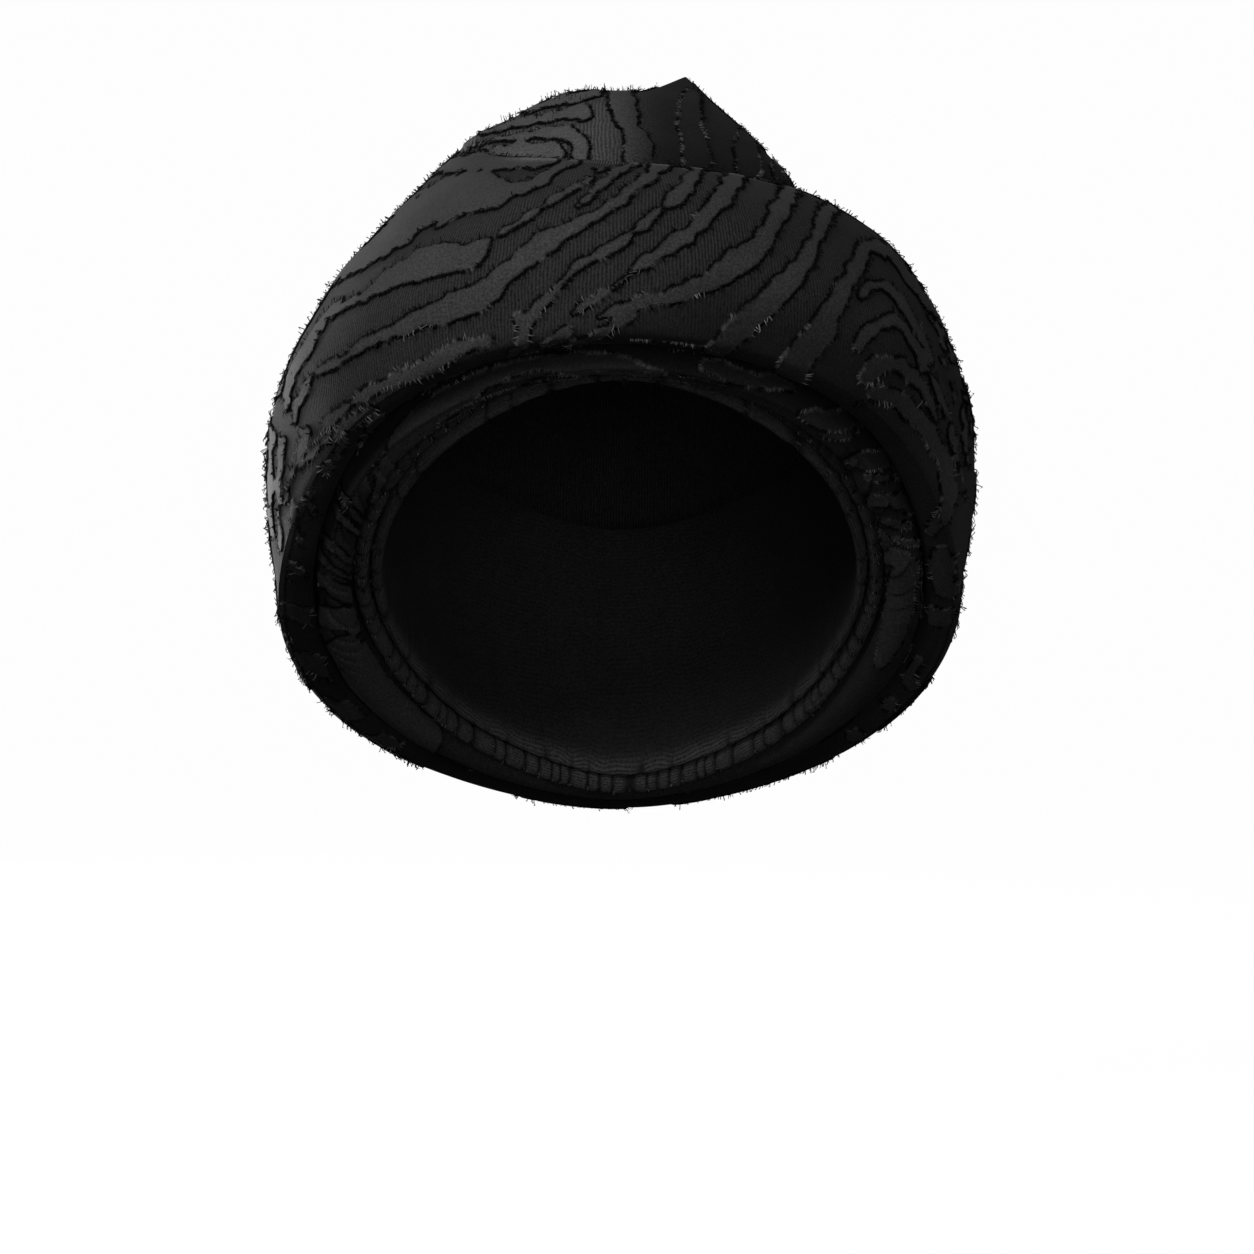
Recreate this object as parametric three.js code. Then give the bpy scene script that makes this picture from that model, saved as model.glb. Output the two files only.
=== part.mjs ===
// A black draped head wrap: a hemmed band against the head, a gathered roll, an under turn,
// a wide outer turn and a soft peaked crown. Millimetres, +Z up, -Y to the front, and +X to the
// right as seen from the front. The origin is the middle of the head opening, over the ears.
import * as THREE from "three";
import { ParametricGeometry } from "three/addons/geometries/ParametricGeometry.js";
import { mergeVertices } from "three/addons/utils/BufferGeometryUtils.js";

// The head oval that the wrap is wound round, at its widest.
const HEAD_HALF_WIDTH = 78;
const HEAD_HALF_LENGTH = 98;

// Cloth thicknesses, the shares of them that are left at a cut edge, and the steps round the head.
const CLOTH = 2;
const EDGE_SHARE = 0.5;
const HEM_BEAD = 4;
const HEM_EDGE_SHARE = 0.6;
const TURNS = 64;
const CROWN_TURNS = 54;
const ROLL_SIDES = 8;

// Where each section is cut into flats, counted along the controls of its middle line.
const BAND_PLACES = [0, 0.4, 1, 1.6, 2, 2.5, 3];
const UNDER_PLACES = [0, 2, 3, 4, 5, 6, 6.5, 7, 7.5, 8];
const OUTER_PLACES = [0, 2, 3, 4, 5, 6, 6.5, 7, 7.5, 8, 8.5, 9, 10, 11, 12];
const CROWN_PLACES = [0, 0.5, 1, 1.5, 2, 2.5, 3, 3.5, 4, 4.6, 5, 5.4, 6];

// How far each layer's lower fold stands out from the head, and half the width of that fold.
const HEM_OUT = 2.6;
const ROLL_OUT = 7.7;
const ROLL_HALF_WIDTH = 2.4;
const ROLL_HALF_HEIGHT = 4.5;
const ROLL_LUMPS = 18;
const ROLL_LUMP_HEIGHT = 0.35;
const UNDER_OUT = 16.6;
const UNDER_FOLD = 4.9;
const OUTER_OUT = 29.2;
const OUTER_FOLD = 5.1;

// The share of the way up to the band's middle that its hem bead takes, and where along the
// band's section the bead thins out to plain cloth.
const HEM_SHARE = 0.3;
const BEAD_THINS_FROM = 0.3;
const BEAD_THINS_TO = 0.55;

// The inner legs of the folded turns, and how round a fold is between its legs and its lowest line.
const UNDER_INNER_LEG = 22;
const OUTER_INNER_LEG = 24;
const FOLD_ROUND_OUT = 0.7;
const FOLD_ROUND_UP = 0.3;

// The outer turn's top edge turns in and down as a lip, a row for each eighth of the way round from
// the front. At the left it lies on the crown and rises with it. LIP_WAY has the shares on the way.
const LIP = [
  { side: "front", inward: 5.4, drop: 10 },
  { side: "front right", inward: 5.4, drop: 10 },
  { side: "right", inward: 5.4, drop: 10 },
  { side: "back right", inward: 5.4, drop: 10 },
  { side: "back", inward: 5.4, drop: 10 },
  { side: "back left", inward: 5, drop: 4 },
  { side: "left", inward: 4, drop: -3 },
  { side: "front left", inward: 5, drop: 2.5 },
];
const LIP_WAY = [
  { inward: 0.6, down: 0.1 },
  { inward: 0.95, down: 0.45 },
  { inward: 1, down: 1 },
];

// The lower edges, a row for each eighth of the way round from the front towards +X.
// headOut is how far the head stands from its widest oval there; the rest are heights of folds.
const RIM = [
  { side: "front", headOut: 0, hemZ: 55.5, rollZ: 59, underZ: 57, outerZ: 65.5 },
  { side: "front right", headOut: -0.5, hemZ: 34.5, rollZ: 36, underZ: 34.5, outerZ: 43.5 },
  { side: "right", headOut: -2.5, hemZ: -8, rollZ: -12, underZ: -20, outerZ: -20 },
  { side: "back right", headOut: -11, hemZ: -50, rollZ: -60, underZ: -64, outerZ: -66.5 },
  { side: "back", headOut: -21, hemZ: -68, rollZ: -78, underZ: -80, outerZ: -83 },
  { side: "back left", headOut: -9.5, hemZ: -50, rollZ: -60, underZ: -65, outerZ: -67.5 },
  { side: "left", headOut: -0.5, hemZ: -8, rollZ: -12, underZ: -21, outerZ: -22 },
  { side: "front left", headOut: 0, hemZ: 34.5, rollZ: 36, underZ: 36, outerZ: 44 },
];

// The hemmed band above its hem: a middle and a top place against the head.
const BAND = [
  { midOut: 1.5, midZ: 72, topOut: -15, topZ: 92 },
  { midOut: 2, midZ: 58, topOut: -10, topZ: 86 },
  { midOut: 2.6, midZ: 24, topOut: -3, topZ: 62 },
  { midOut: 2.6, midZ: -12, topOut: 2, topZ: 34 },
  { midOut: 1, midZ: -26, topOut: 3, topZ: 16 },
  { midOut: 2.6, midZ: -12, topOut: 2, topZ: 34 },
  { midOut: 2.6, midZ: 24, topOut: -3, topZ: 62 },
  { midOut: 2, midZ: 58, topOut: -10, topZ: 86 },
];

// The under turn's outer leg: where it leans on the outer turn from inside, and its top.
const UNDER_LEG = [
  { midOut: 20.2, midZ: 84, topOut: 12, topZ: 104 },
  { midOut: 19.9, midZ: 66, topOut: 13, topZ: 95 },
  { midOut: 18.1, midZ: 10, topOut: 24, topZ: 60 },
  { midOut: 10, midZ: -36, topOut: 26, topZ: 28 },
  { midOut: 0.6, midZ: -52, topOut: 21, topZ: 12 },
  { midOut: 11.5, midZ: -36, topOut: 26, topZ: 28 },
  { midOut: 20.1, midZ: 10, topOut: 24, topZ: 60 },
  { midOut: 20.4, midZ: 66, topOut: 13, topZ: 96 },
];

// Gathers that pinch the under turn's fold: the middle and half-spread in degrees round the head
// from the front, the deepest pinch and the number of pinches.
const GATHERS = [
  { middle: 65, spread: 26, depth: 1.6, pinches: 3 },
  { middle: 285, spread: 34, depth: 2, pinches: 4 },
];

// The outer turn above its fold: the widest place, the shoulder and the top edge.
const OUTER = [
  { bulgeOut: 33.5, bulgeZ: 90, shoulderOut: 22, shoulderZ: 111, topOut: -3, topZ: 121.5 },
  { bulgeOut: 36.2, bulgeZ: 73, shoulderOut: 18, shoulderZ: 103, topOut: -6.5, topZ: 118 },
  { bulgeOut: 36.2, bulgeZ: 37, shoulderOut: 19.5, shoulderZ: 89, topOut: -8.5, topZ: 114.5 },
  { bulgeOut: 33, bulgeZ: -4, shoulderOut: 20, shoulderZ: 78, topOut: -10, topZ: 109 },
  { bulgeOut: 30, bulgeZ: -24, shoulderOut: 21, shoulderZ: 68, topOut: -12, topZ: 108 },
  { bulgeOut: 35, bulgeZ: -4, shoulderOut: 20.5, shoulderZ: 78, topOut: -15, topZ: 120 },
  { bulgeOut: 36.5, bulgeZ: 35, shoulderOut: 18, shoulderZ: 86, topOut: -21, topZ: 132 },
  { bulgeOut: 36, bulgeZ: 75, shoulderOut: 16.5, shoulderZ: 102, topOut: -15, topZ: 127 },
];

// The crown: how far its valley stands inside the outer turn's top edge, or outside under the turn
// where negative, and the heights along the way from there to the peak. From the valley a skirt
// runs out under the outer turn.
const PEAK = new THREE.Vector3(21, 2, 162.3);
const CROWN_STATIONS = [
  { way: 0.1, column: "z10" },
  { way: 0.3, column: "z30" },
  { way: 0.55, column: "z55" },
  { way: 0.8, column: "z80" },
];
const VALLEY_DROP = 16;
const SKIRT_DROP = 3;
const SKIRT_UNDER = 5;
const CROWN = [
  { setIn: 16, z10: 126, z30: 138.5, z55: 149.5, z80: 156 },
  { setIn: 15, z10: 123, z30: 136, z55: 146.5, z80: 155 },
  { setIn: 9, z10: 124, z30: 135, z55: 145, z80: 154 },
  { setIn: 6.3, z10: 119, z30: 134, z55: 146.5, z80: 155.5 },
  { setIn: 6.3, z10: 118, z30: 135, z55: 148, z80: 156 },
  { setIn: 2, z10: 118.5, z30: 138, z55: 150.5, z80: 155.5 },
  { setIn: -8, z10: 126, z30: 144.5, z55: 156, z80: 156 },
  { setIn: 1.5, z10: 125.5, z30: 142, z55: 152.5, z80: 155.8 },
];

const { lerp, smoothstep, euclideanModulo } = THREE.MathUtils;

// Reads one column of a table smoothly at any angle round the head.
function around(table, column, angle) {
  const place = euclideanModulo(angle / (2 * Math.PI), 1) * table.length;
  const row = Math.floor(place) % table.length;
  const t = place - Math.floor(place);
  const [a, b, c, d] = [-1, 0, 1, 2].map((k) => table[(row + k + table.length) % table.length][column]);
  const slope = (c - a) / 2;
  const curve = 2 * a - 5 * b + 4 * c - d;
  const twist = 3 * b - a - 3 * c + d;
  return b + t * (slope + (t * (curve + t * twist)) / 2);
}

// The point at a distance out from the head oval, at a height and an angle round the head.
function headPoint(angle, out, height, target = new THREE.Vector3()) {
  return target.set(
    (HEAD_HALF_WIDTH + out) * Math.sin(angle),
    -(HEAD_HALF_LENGTH + out) * Math.cos(angle),
    height,
  );
}

// The closed outline of a cloth wall about a smooth middle line. places counts along the line's
// controls, and thickness is a function of the way along.
function wallOutline(controls, places, thickness) {
  const middle = new THREE.SplineCurve(controls.map(([out, height]) => new THREE.Vector2(out, height)));
  const outer = [];
  const inner = [];
  for (const place of places) {
    const way = place / (controls.length - 1);
    const point = middle.getPoint(way);
    const along = middle.getTangent(way);
    const side = new THREE.Vector2(along.y, -along.x).multiplyScalar(thickness(way) / 2);
    outer.push(point.clone().add(side));
    inner.unshift(point.clone().sub(side));
  }
  return [...outer, ...inner];
}

// A wall that keeps its full thickness but for a thinner cut edge each way.
const evenCloth = (way) => CLOTH * (way === 0 || way === 1 ? EDGE_SHARE : 1);

// The lower edge of the band swells into a bead.
function hemmedCloth(way) {
  if (way === 0) return CLOTH * HEM_EDGE_SHARE;
  if (way === 1) return CLOTH * EDGE_SHARE;
  return CLOTH + (HEM_BEAD - CLOTH) * (1 - smoothstep(way, BEAD_THINS_FROM, BEAD_THINS_TO));
}

// The crown has no edge at its peak, where the way begins.
const crownCloth = (way) => CLOTH * (way === 1 ? EDGE_SHARE : 1);

// Merges the shared points of a closed grid and drops the triangles that close to nothing at a pole.
function closedGeometry(geometry) {
  geometry.deleteAttribute("normal");
  geometry.deleteAttribute("uv");
  const merged = mergeVertices(geometry, 1e-3);
  const corners = merged.index.array;
  const kept = [];
  for (let i = 0; i < corners.length; i += 3) {
    const [a, b, c] = corners.slice(i, i + 3);
    if (a !== b && b !== c && c !== a) kept.push(a, b, c);
  }
  return merged.setIndex(kept);
}

// A ring swept round the head: outlineAt gives the closed section, in out and height, at an angle.
function ringGeometry(outlineAt, turns) {
  const outlines = Array.from({ length: turns }, (_, i) => outlineAt((2 * Math.PI * i) / turns));
  const corners = outlines[0].length;
  const place = (u, v, target) => {
    const turn = Math.round(u * turns) % turns;
    const corner = outlines[turn][Math.round(v * corners) % corners];
    headPoint((2 * Math.PI * turn) / turns, corner.x, corner.y, target);
  };
  return closedGeometry(new ParametricGeometry(place, turns, corners));
}

// The controls of a turn folded up at its lower edge: the inner leg, the fold and the outer side.
function foldControls(out, height, half, leg) {
  return [
    [out - half, height + leg],
    [out - half, height + leg / 2],
    [out - half, height + half],
    [out - half * FOLD_ROUND_OUT, height + half * FOLD_ROUND_UP],
    [out, height],
    [out + half * FOLD_ROUND_OUT, height + half * FOLD_ROUND_UP],
    [out + half, height + half],
  ];
}

function bandGeometry() {
  return ringGeometry((angle) => {
    const at = (column) => around(BAND, column, angle);
    const out = around(RIM, "headOut", angle) + HEM_OUT;
    const hem = around(RIM, "hemZ", angle);
    const controls = [
      [out, hem],
      [lerp(out, at("midOut"), HEM_SHARE), lerp(hem, at("midZ"), HEM_SHARE)],
      [at("midOut"), at("midZ")],
      [at("topOut"), at("topZ")],
    ];
    return wallOutline(controls, BAND_PLACES, hemmedCloth);
  }, TURNS);
}

function rollGeometry() {
  return ringGeometry((angle) => {
    const lump = ROLL_LUMP_HEIGHT * Math.cos(ROLL_LUMPS * angle);
    const out = around(RIM, "headOut", angle) + ROLL_OUT;
    const height = around(RIM, "rollZ", angle) + ROLL_HALF_HEIGHT;
    return Array.from({ length: ROLL_SIDES }, (_, i) => {
      const turn = (2 * Math.PI * i) / ROLL_SIDES;
      return new THREE.Vector2(
        out + (ROLL_HALF_WIDTH - lump) * Math.cos(turn),
        height + (ROLL_HALF_HEIGHT + lump) * Math.sin(turn),
      );
    });
  }, TURNS);
}

// How far the gathers pinch the under turn's fold at an angle.
function gather(angle) {
  const pinchOf = ({ middle, spread, depth, pinches }) => {
    const way = (THREE.MathUtils.radToDeg(angle) - middle) / spread;
    if (Math.abs(way) > 1) return 0;
    return (depth * (1 - way * way) * (1 - Math.cos(Math.PI * pinches * (way + 1)))) / 2;
  };
  return GATHERS.reduce((sum, row) => sum + pinchOf(row), 0);
}

function underGeometry() {
  return ringGeometry((angle) => {
    const at = (column) => around(UNDER_LEG, column, angle);
    const out = around(RIM, "headOut", angle) + UNDER_OUT;
    const height = around(RIM, "underZ", angle) + gather(angle);
    const fold = foldControls(out, height, UNDER_FOLD - gather(angle) / 2, UNDER_INNER_LEG);
    const controls = [...fold, [at("midOut"), at("midZ")], [at("topOut"), at("topZ")]];
    return wallOutline(controls, UNDER_PLACES, evenCloth);
  }, TURNS);
}

function outerGeometry() {
  return ringGeometry((angle) => {
    const at = (column) => around(OUTER, column, angle);
    const out = around(RIM, "headOut", angle) + OUTER_OUT;
    const fold = foldControls(out, around(RIM, "outerZ", angle), OUTER_FOLD, OUTER_INNER_LEG);
    const controls = [
      ...fold,
      [at("bulgeOut"), at("bulgeZ")],
      [at("shoulderOut"), at("shoulderZ")],
      [at("topOut"), at("topZ")],
      ...LIP_WAY.map(({ inward, down }) => [
        at("topOut") - around(LIP, "inward", angle) * inward,
        at("topZ") - around(LIP, "drop", angle) * down,
      ]),
    ];
    return wallOutline(controls, OUTER_PLACES, evenCloth);
  }, TURNS);
}

// The crown's section at an angle, from the peak's inside down to the skirt's end and back outside.
function crownOutline(angle) {
  const setIn = around(CROWN, "setIn", angle);
  const valley = headPoint(
    angle,
    around(OUTER, "topOut", angle) - setIn,
    around(OUTER, "topZ", angle) - VALLEY_DROP,
  );
  const run = Math.hypot(valley.x - PEAK.x, valley.y - PEAK.y);
  const slope = CROWN_STATIONS.map(({ way, column }) => [run * (1 - way), around(CROWN, column, angle)]);
  const controls = [
    [0, PEAK.z],
    ...slope.reverse(),
    [run, valley.z],
    [run + setIn + SKIRT_UNDER, valley.z - SKIRT_DROP],
  ];
  const outline = wallOutline(controls, CROWN_PLACES, crownCloth);
  // Both skins close on the upright line through the peak.
  outline[0].set(0, PEAK.z - CLOTH / 2);
  outline[outline.length - 1].set(0, PEAK.z + CLOTH / 2);
  const toValley = new THREE.Vector2(valley.x - PEAK.x, valley.y - PEAK.y).divideScalar(run);
  return outline.map(
    ({ x, y }) => new THREE.Vector3(PEAK.x + toValley.x * x, PEAK.y + toValley.y * x, y),
  );
}

function crownGeometry() {
  const outlines = Array.from({ length: CROWN_TURNS }, (_, i) =>
    crownOutline((2 * Math.PI * i) / CROWN_TURNS),
  );
  const corners = outlines[0].length - 1;
  const place = (u, v, target) => {
    target.copy(outlines[Math.round(u * CROWN_TURNS) % CROWN_TURNS][Math.round(v * corners)]);
  };
  return closedGeometry(new ParametricGeometry(place, CROWN_TURNS, corners));
}

// Black jacquard cloth, a little smoother where it lies flat.
const cloth = (colour, roughness) =>
  new THREE.MeshStandardMaterial({ color: colour, roughness, metalness: 0 });

function clothMesh(name, geometry, material) {
  const mesh = new THREE.Mesh(geometry, material);
  mesh.name = name;
  return mesh;
}

const headWrap = new THREE.Group();
headWrap.add(
  clothMesh("hem_band", bandGeometry(), cloth(0x141414, 0.85)),
  clothMesh("gathered_roll", rollGeometry(), cloth(0x101010, 0.85)),
  clothMesh("under_turn", underGeometry(), cloth(0x161616, 0.75)),
  clothMesh("outer_turn", outerGeometry(), cloth(0x1c1c1c, 0.7)),
  clothMesh("crown", crownGeometry(), cloth(0x1c1c1c, 0.7)),
);

export default headWrap;
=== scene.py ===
# A black draped head wrap in jacquard cloth with clipped threads. Lengths are in millimetres up to
# the meshes, which are in metres. +Z is up, -Y is the front, and +X is right as seen from the front.
import math

import bpy
import numpy as np
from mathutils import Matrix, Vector


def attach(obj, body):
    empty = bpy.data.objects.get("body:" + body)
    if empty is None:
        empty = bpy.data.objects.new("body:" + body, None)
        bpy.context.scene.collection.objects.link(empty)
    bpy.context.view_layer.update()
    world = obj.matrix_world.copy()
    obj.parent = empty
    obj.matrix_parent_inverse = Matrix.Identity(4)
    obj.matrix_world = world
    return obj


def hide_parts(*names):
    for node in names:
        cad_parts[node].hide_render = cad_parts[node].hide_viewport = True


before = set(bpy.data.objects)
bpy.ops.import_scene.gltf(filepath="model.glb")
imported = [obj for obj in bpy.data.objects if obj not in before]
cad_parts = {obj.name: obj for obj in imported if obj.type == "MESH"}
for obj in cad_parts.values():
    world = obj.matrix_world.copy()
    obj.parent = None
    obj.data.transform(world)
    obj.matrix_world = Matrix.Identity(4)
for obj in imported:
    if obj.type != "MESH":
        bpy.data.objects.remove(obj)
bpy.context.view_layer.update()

MM = 0.001
TAU = math.tau
UP = np.array([0.0, 0.0, 1.0])

# The head oval that the wrap is wound round, and the cloth's half thickness.
HEAD_HALF_WIDTH = 78.0
HEAD_HALF_LENGTH = 98.0
CLOTH_HALF = 0.75
BACK_HALF = 0.85
EDGE_HALF = 0.4

# How far the smooth bands stand up from the ribbed ground, with the share of it at their edge, how far
# and how wide the ground dips beside them, and how wide the painted shade beside them is. A cut keeps
# CUT_LEAST of a side from its ends, and NO_BAND is the measure where no band is cut.
BAND_RISE = 0.55
BAND_EDGE = 0.85
GROUND_DIP = 0.1
DIP_REACH = 1.2
SHADE_REACH = 0.9
CUT_LEAST = 0.08
NO_BAND = -6.0

# The wandering of a clipped edge, as depths and lengths of waves, and the angles in degrees over
# which an edge of a banded piece and of a tube stays sharp.
EDGE_WAVES = ((0.45, 11), (0.35, 5.5), (0.2, 3))
BAND_CREASE = 42
TUBE_CREASE = 60

# The dark ragged line beside a clipped edge, for the clipped threads and for painted shadow under the
# band's edge: its widths off the band and over it, how it lies, and how much thinner it is on the left
# flank, between angles in radians left of the front.
FRINGE_WIDTH = (0.45, 1.35)
FRINGE_LAP = (0.1, 0.55)
FRINGE_LIFT = 0.06
FRINGE_STEPS = 2
LEFT_THINNING = 0.5
LEFT_FLANK = (0.9, 1.2, 2.2, 2.6)

# The share of the clipped thread ends that stand up from the cloth, the share of a tuft's ends that
# are painted light as glints, and how light a frayed line is painted.
STANDING_SHARE = 0.13
TUFT_SHINE_SHARE = 0.65
FRAYED_LIGHT = 1.5

# Steps round the head. The front is cut finer than the back.
OUTER_TURNS = 400
CROWN_TURNS = 320
UNDER_TURNS = 640
ROLL_TURNS = 1040
ROLL_SIDES = 20
HEM_TURNS = 500
FRONT_SHARE = 0.28

# Steps down the front of each section and back up behind it: first control, last control, steps.
OUTER_FRONT = ((0, 3, 6), (3, 6, 12), (6, 7, 30), (7, 8, 38), (8, 9, 24), (9, 12, 10))
OUTER_BACK = ((12, 9, 3), (9, 6, 6), (6, 3, 5), (3, 0, 2))
CROWN_FRONT = ((0, 4, 66), (4, 5, 20), (5, 6, 4))
CROWN_BACK = ((6, 4, 6), (4, 0, 12))
UNDER_FRONT = ((0, 1, 3), (1, 3, 10), (3, 6, 26), (6, 7, 12), (7, 8, 6))
UNDER_BACK = ((8, 6, 6), (6, 3, 6), (3, 0, 5))
HEM_FRONT = ((0, 0.4, 8), (0.4, 1, 14), (1, 2, 12), (2, 3, 8))
HEM_BACK = ((3, 1, 8), (1, 0.4, 4), (0.4, 0, 4))

# The lower edges, a column for each fold and a value for each eighth of the way round from the front
# towards +X. head_out is how far the head stands from its widest oval.
RIM = {
    "head_out": (0, -0.5, -2.5, -11, -21, -9.5, -0.5, 0),
    "hem_z": (55.5, 34, -10.5, -53.5, -71, -53.5, -10.5, 34),
    "roll_z": (59, 36, -12, -60, -78, -60, -12, 36),
    "under_z": (57, 34.5, -20, -64, -80, -65, -21, 36),
    "outer_z": (65.5, 43.5, -20, -66.5, -83, -67.5, -22, 44),
}
BAND = {
    "mid_out": (1.5, 2, 2.6, 2.6, 1, 2.6, 2.6, 2),
    "mid_z": (72, 58, 24, -12, -26, -12, 24, 58),
    "top_out": (-15, -10, -3, 2, 3, 2, -3, -10),
    "top_z": (92, 86, 62, 34, 16, 34, 62, 86),
}
UNDER_LEG = {
    "mid_out": (20.2, 19.9, 18.1, 10, 0.6, 11.5, 20.1, 20.4),
    "mid_z": (84, 66, 10, -36, -52, -36, 10, 66),
    "top_out": (12, 13, 24, 26, 21, 26, 24, 13),
    "top_z": (104, 95, 60, 28, 12, 28, 60, 96),
}
OUTER = {
    "bulge_out": (33.5, 36.2, 36.2, 33, 30, 35, 36.5, 36),
    "bulge_z": (90, 73, 37, -4, -24, -4, 35, 75),
    "shoulder_out": (22, 18, 19.5, 20, 21, 20.5, 18, 16.5),
    "shoulder_z": (111, 103, 89, 78, 68, 78, 86, 102),
    "top_out": (-3, -6.5, -8.5, -10, -12, -15, -21, -15),
    "top_z": (121.5, 118, 114.5, 109, 108, 120, 132, 127),
}
LIP = {
    "inward": (5.4, 5.4, 5.4, 5.4, 5.4, 5, 4, 5),
    "drop": (10, 10, 10, 10, 10, 4, -3, 2.5),
}
CROWN = {
    "set_in": (16, 15, 9, 6.3, 6.3, 2, -8, 1.5),
    "z10": (126, 123, 124, 119, 118, 118.5, 126, 125.5),
    "z30": (138.5, 136, 135, 134, 135, 138, 144.5, 142),
    "z55": (149.5, 146.5, 145, 146.5, 148, 150.5, 156, 152.5),
    "z80": (156, 155, 154, 155.5, 156, 155.5, 156, 155.8),
}
CROWN_STATIONS = (("z80", 0.8), ("z55", 0.55), ("z30", 0.3), ("z10", 0.1))
PEAK = (21.0, 2.0, 162.3)
VALLEY_DROP = 16.0
SKIRT_DROP = 3.0
SKIRT_UNDER = 5.0

# How far the crown's cloth swells over the lip on the left, between heights over the lip.
CROWN_SWELL = 4.5
SWELL_HEIGHTS = (-0.5, 3, 3, 20)

# Where each layer's lower fold stands out from the head, half the width of that fold and its inner leg.
# The roll is a little wider and flatter than its solid, so that no groove shows beside it.
HEM_OUT = 2.6
HEM_SHARE = 0.3
HEM_BEAD_HALF = 1.9
ROLL_OUT = 7.7
ROLL_HALF_WIDTH = 2.4
ROLL_HALF_HEIGHT = 4.5
ROLL_WIDER = 0.4
ROLL_FLATTER = 0.3
UNDER_OUT = 16.6
UNDER_FOLD = 4.9
UNDER_INNER_LEG = 22.0
OUTER_OUT = 29.2
OUTER_FOLD = 5.1
OUTER_INNER_LEG = 24.0
FOLD_ROUND_OUT = 0.7
FOLD_ROUND_UP = 0.3
LIP_WAY = ((0.6, 0.1), (0.95, 0.45), (1.0, 1.0))

# Gathers that pinch the under turn's fold: the middle and half-spread in degrees round the head, the
# deepest pinch, the number of pinches, the number of fine pleats and how far they lean.
GATHERS = (
    {"middle": 65, "spread": 26, "depth": 1.6, "pinches": 3, "pleats": 11, "lean": 1.5},
    {"middle": 285, "spread": 34, "depth": 2.0, "pinches": 4, "pleats": 18, "lean": -2.5},
)
PLEAT_HEIGHT = 1.0
PLEAT_STEP = 0.16

# Soft waves of the outer turn's cloth, the beads of the roll and the pinches of the hem.
DRAPE_WAVE = 36.0
DRAPE_DEPTH = 0.35
ROLL_BEADS = 88
HEM_WRAPS = 34

# Stretches of a section, in controls: where bands are cut, where cloth is slack or gathered, and where
# the outer turn's fold is painted with shade, which reaches further up on the front right.
OUTER_BANDED = (2.2, 3.0, 10.6, 11.4)
OUTER_SLACK = (5.5, 6.5, 8.6, 9.2)
OUTER_SHADED = (2.0, 2.6, 5.0, 6.4)
SHADED_RIGHT = 0.9
UNDER_BANDED = (0.6, 2.0, 6.2, 7.0)
UNDER_GATHERED = (0.6, 2.0, 4.6, 5.4)

# How dark the painted shade is in each place, and how light the painted highlight along the outer turn's
# top fold is.
FOLD_SHADE = 0.75
FOLD_SHADE_SIDE = 0.3
FLANK_SHADE = 0.7
TUCKED_SHADE = 0.9
FRONT_SHADE = 0.12
CROWN_SHADE = 1.08
INSIDE_SHADE = 0.8
TOP_FOLD_HIGHLIGHT = {"place": 8.96, "wide": 0.07, "light": 2.2}

# The grain where the front view doesn't show it: arches that fall towards the back, with knots.
# A knot is its angle in degrees, its height, how wide and how tall it is, and its rings.
GRAIN_PERIOD = 17.0
GRAIN_FALL = 90.0
GRAIN_SHARE = 0.45
KNOTS = (
    (128, 52, 24, 15, 1.7),
    (172, 6, 34, 18, -1.9),
    (214, 70, 26, 14, 1.6),
    (246, -14, 22, 17, 1.4),
    (108, -16, 22, 16, -1.4),
)
UNROLLED_RADIUS = 115.0

# The weave: ribs round the head, the width of a rib elsewhere, how far ribs wander in radians, and
# the colours as grey shares. The crown's greys are lighter than the woven ones, as painted light, and so
# is the plain grey of the roll and hem; the threads' lighter grey is for painted glints and a few lighter
# ends.
RIBS_ROUND = 760.0
RIB_WIDTH = 1.2
RIB_WANDER = 9.0
SATIN_GREY = 0.038
RIBBED_GREY = 0.02
CROWN_LIT_SATIN_GREY = 0.066
CROWN_LIT_RIBBED_GREY = 0.052
PLAIN_LIT_GREY = 0.048
THREAD_GREYS = (0.0006, 0.16)

# The studio, in metres and watts: a soft key from the upper left, a light behind the left edge, weak
# fills, and a floor and backdrop that look white. A light is its name, its place, the height of the
# wrap that it points at, its size and its power.
LIGHTS = (
    ("key", (-0.95, -1.3, 0.9), 0.04, 0.8, 23),
    ("top_left", (-1.2, 0.3, 1.2), 0.08, 0.6, 4),
    ("left_edge", (-1.1, 1.3, -0.1), 0.02, 0.6, 38),
    ("right_fill", (1.6, 0.1, -0.3), 0.04, 1.0, 8),
    ("front_fill", (0.2, -1.5, 0.0), 0.04, 1.0, 6),
    ("low_fill", (-0.5, -1.3, -0.45), 0.03, 0.6, 11),
)
FLOOR_Z = -0.208
FLOOR_WHITE = 0.98
FLOOR_GREY = 0.05
BACKDROP_WHITE = 0.985
SKY_OVERHEAD = 0.1
SKY_LEVEL = 0.03
LENS = 104.4

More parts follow.
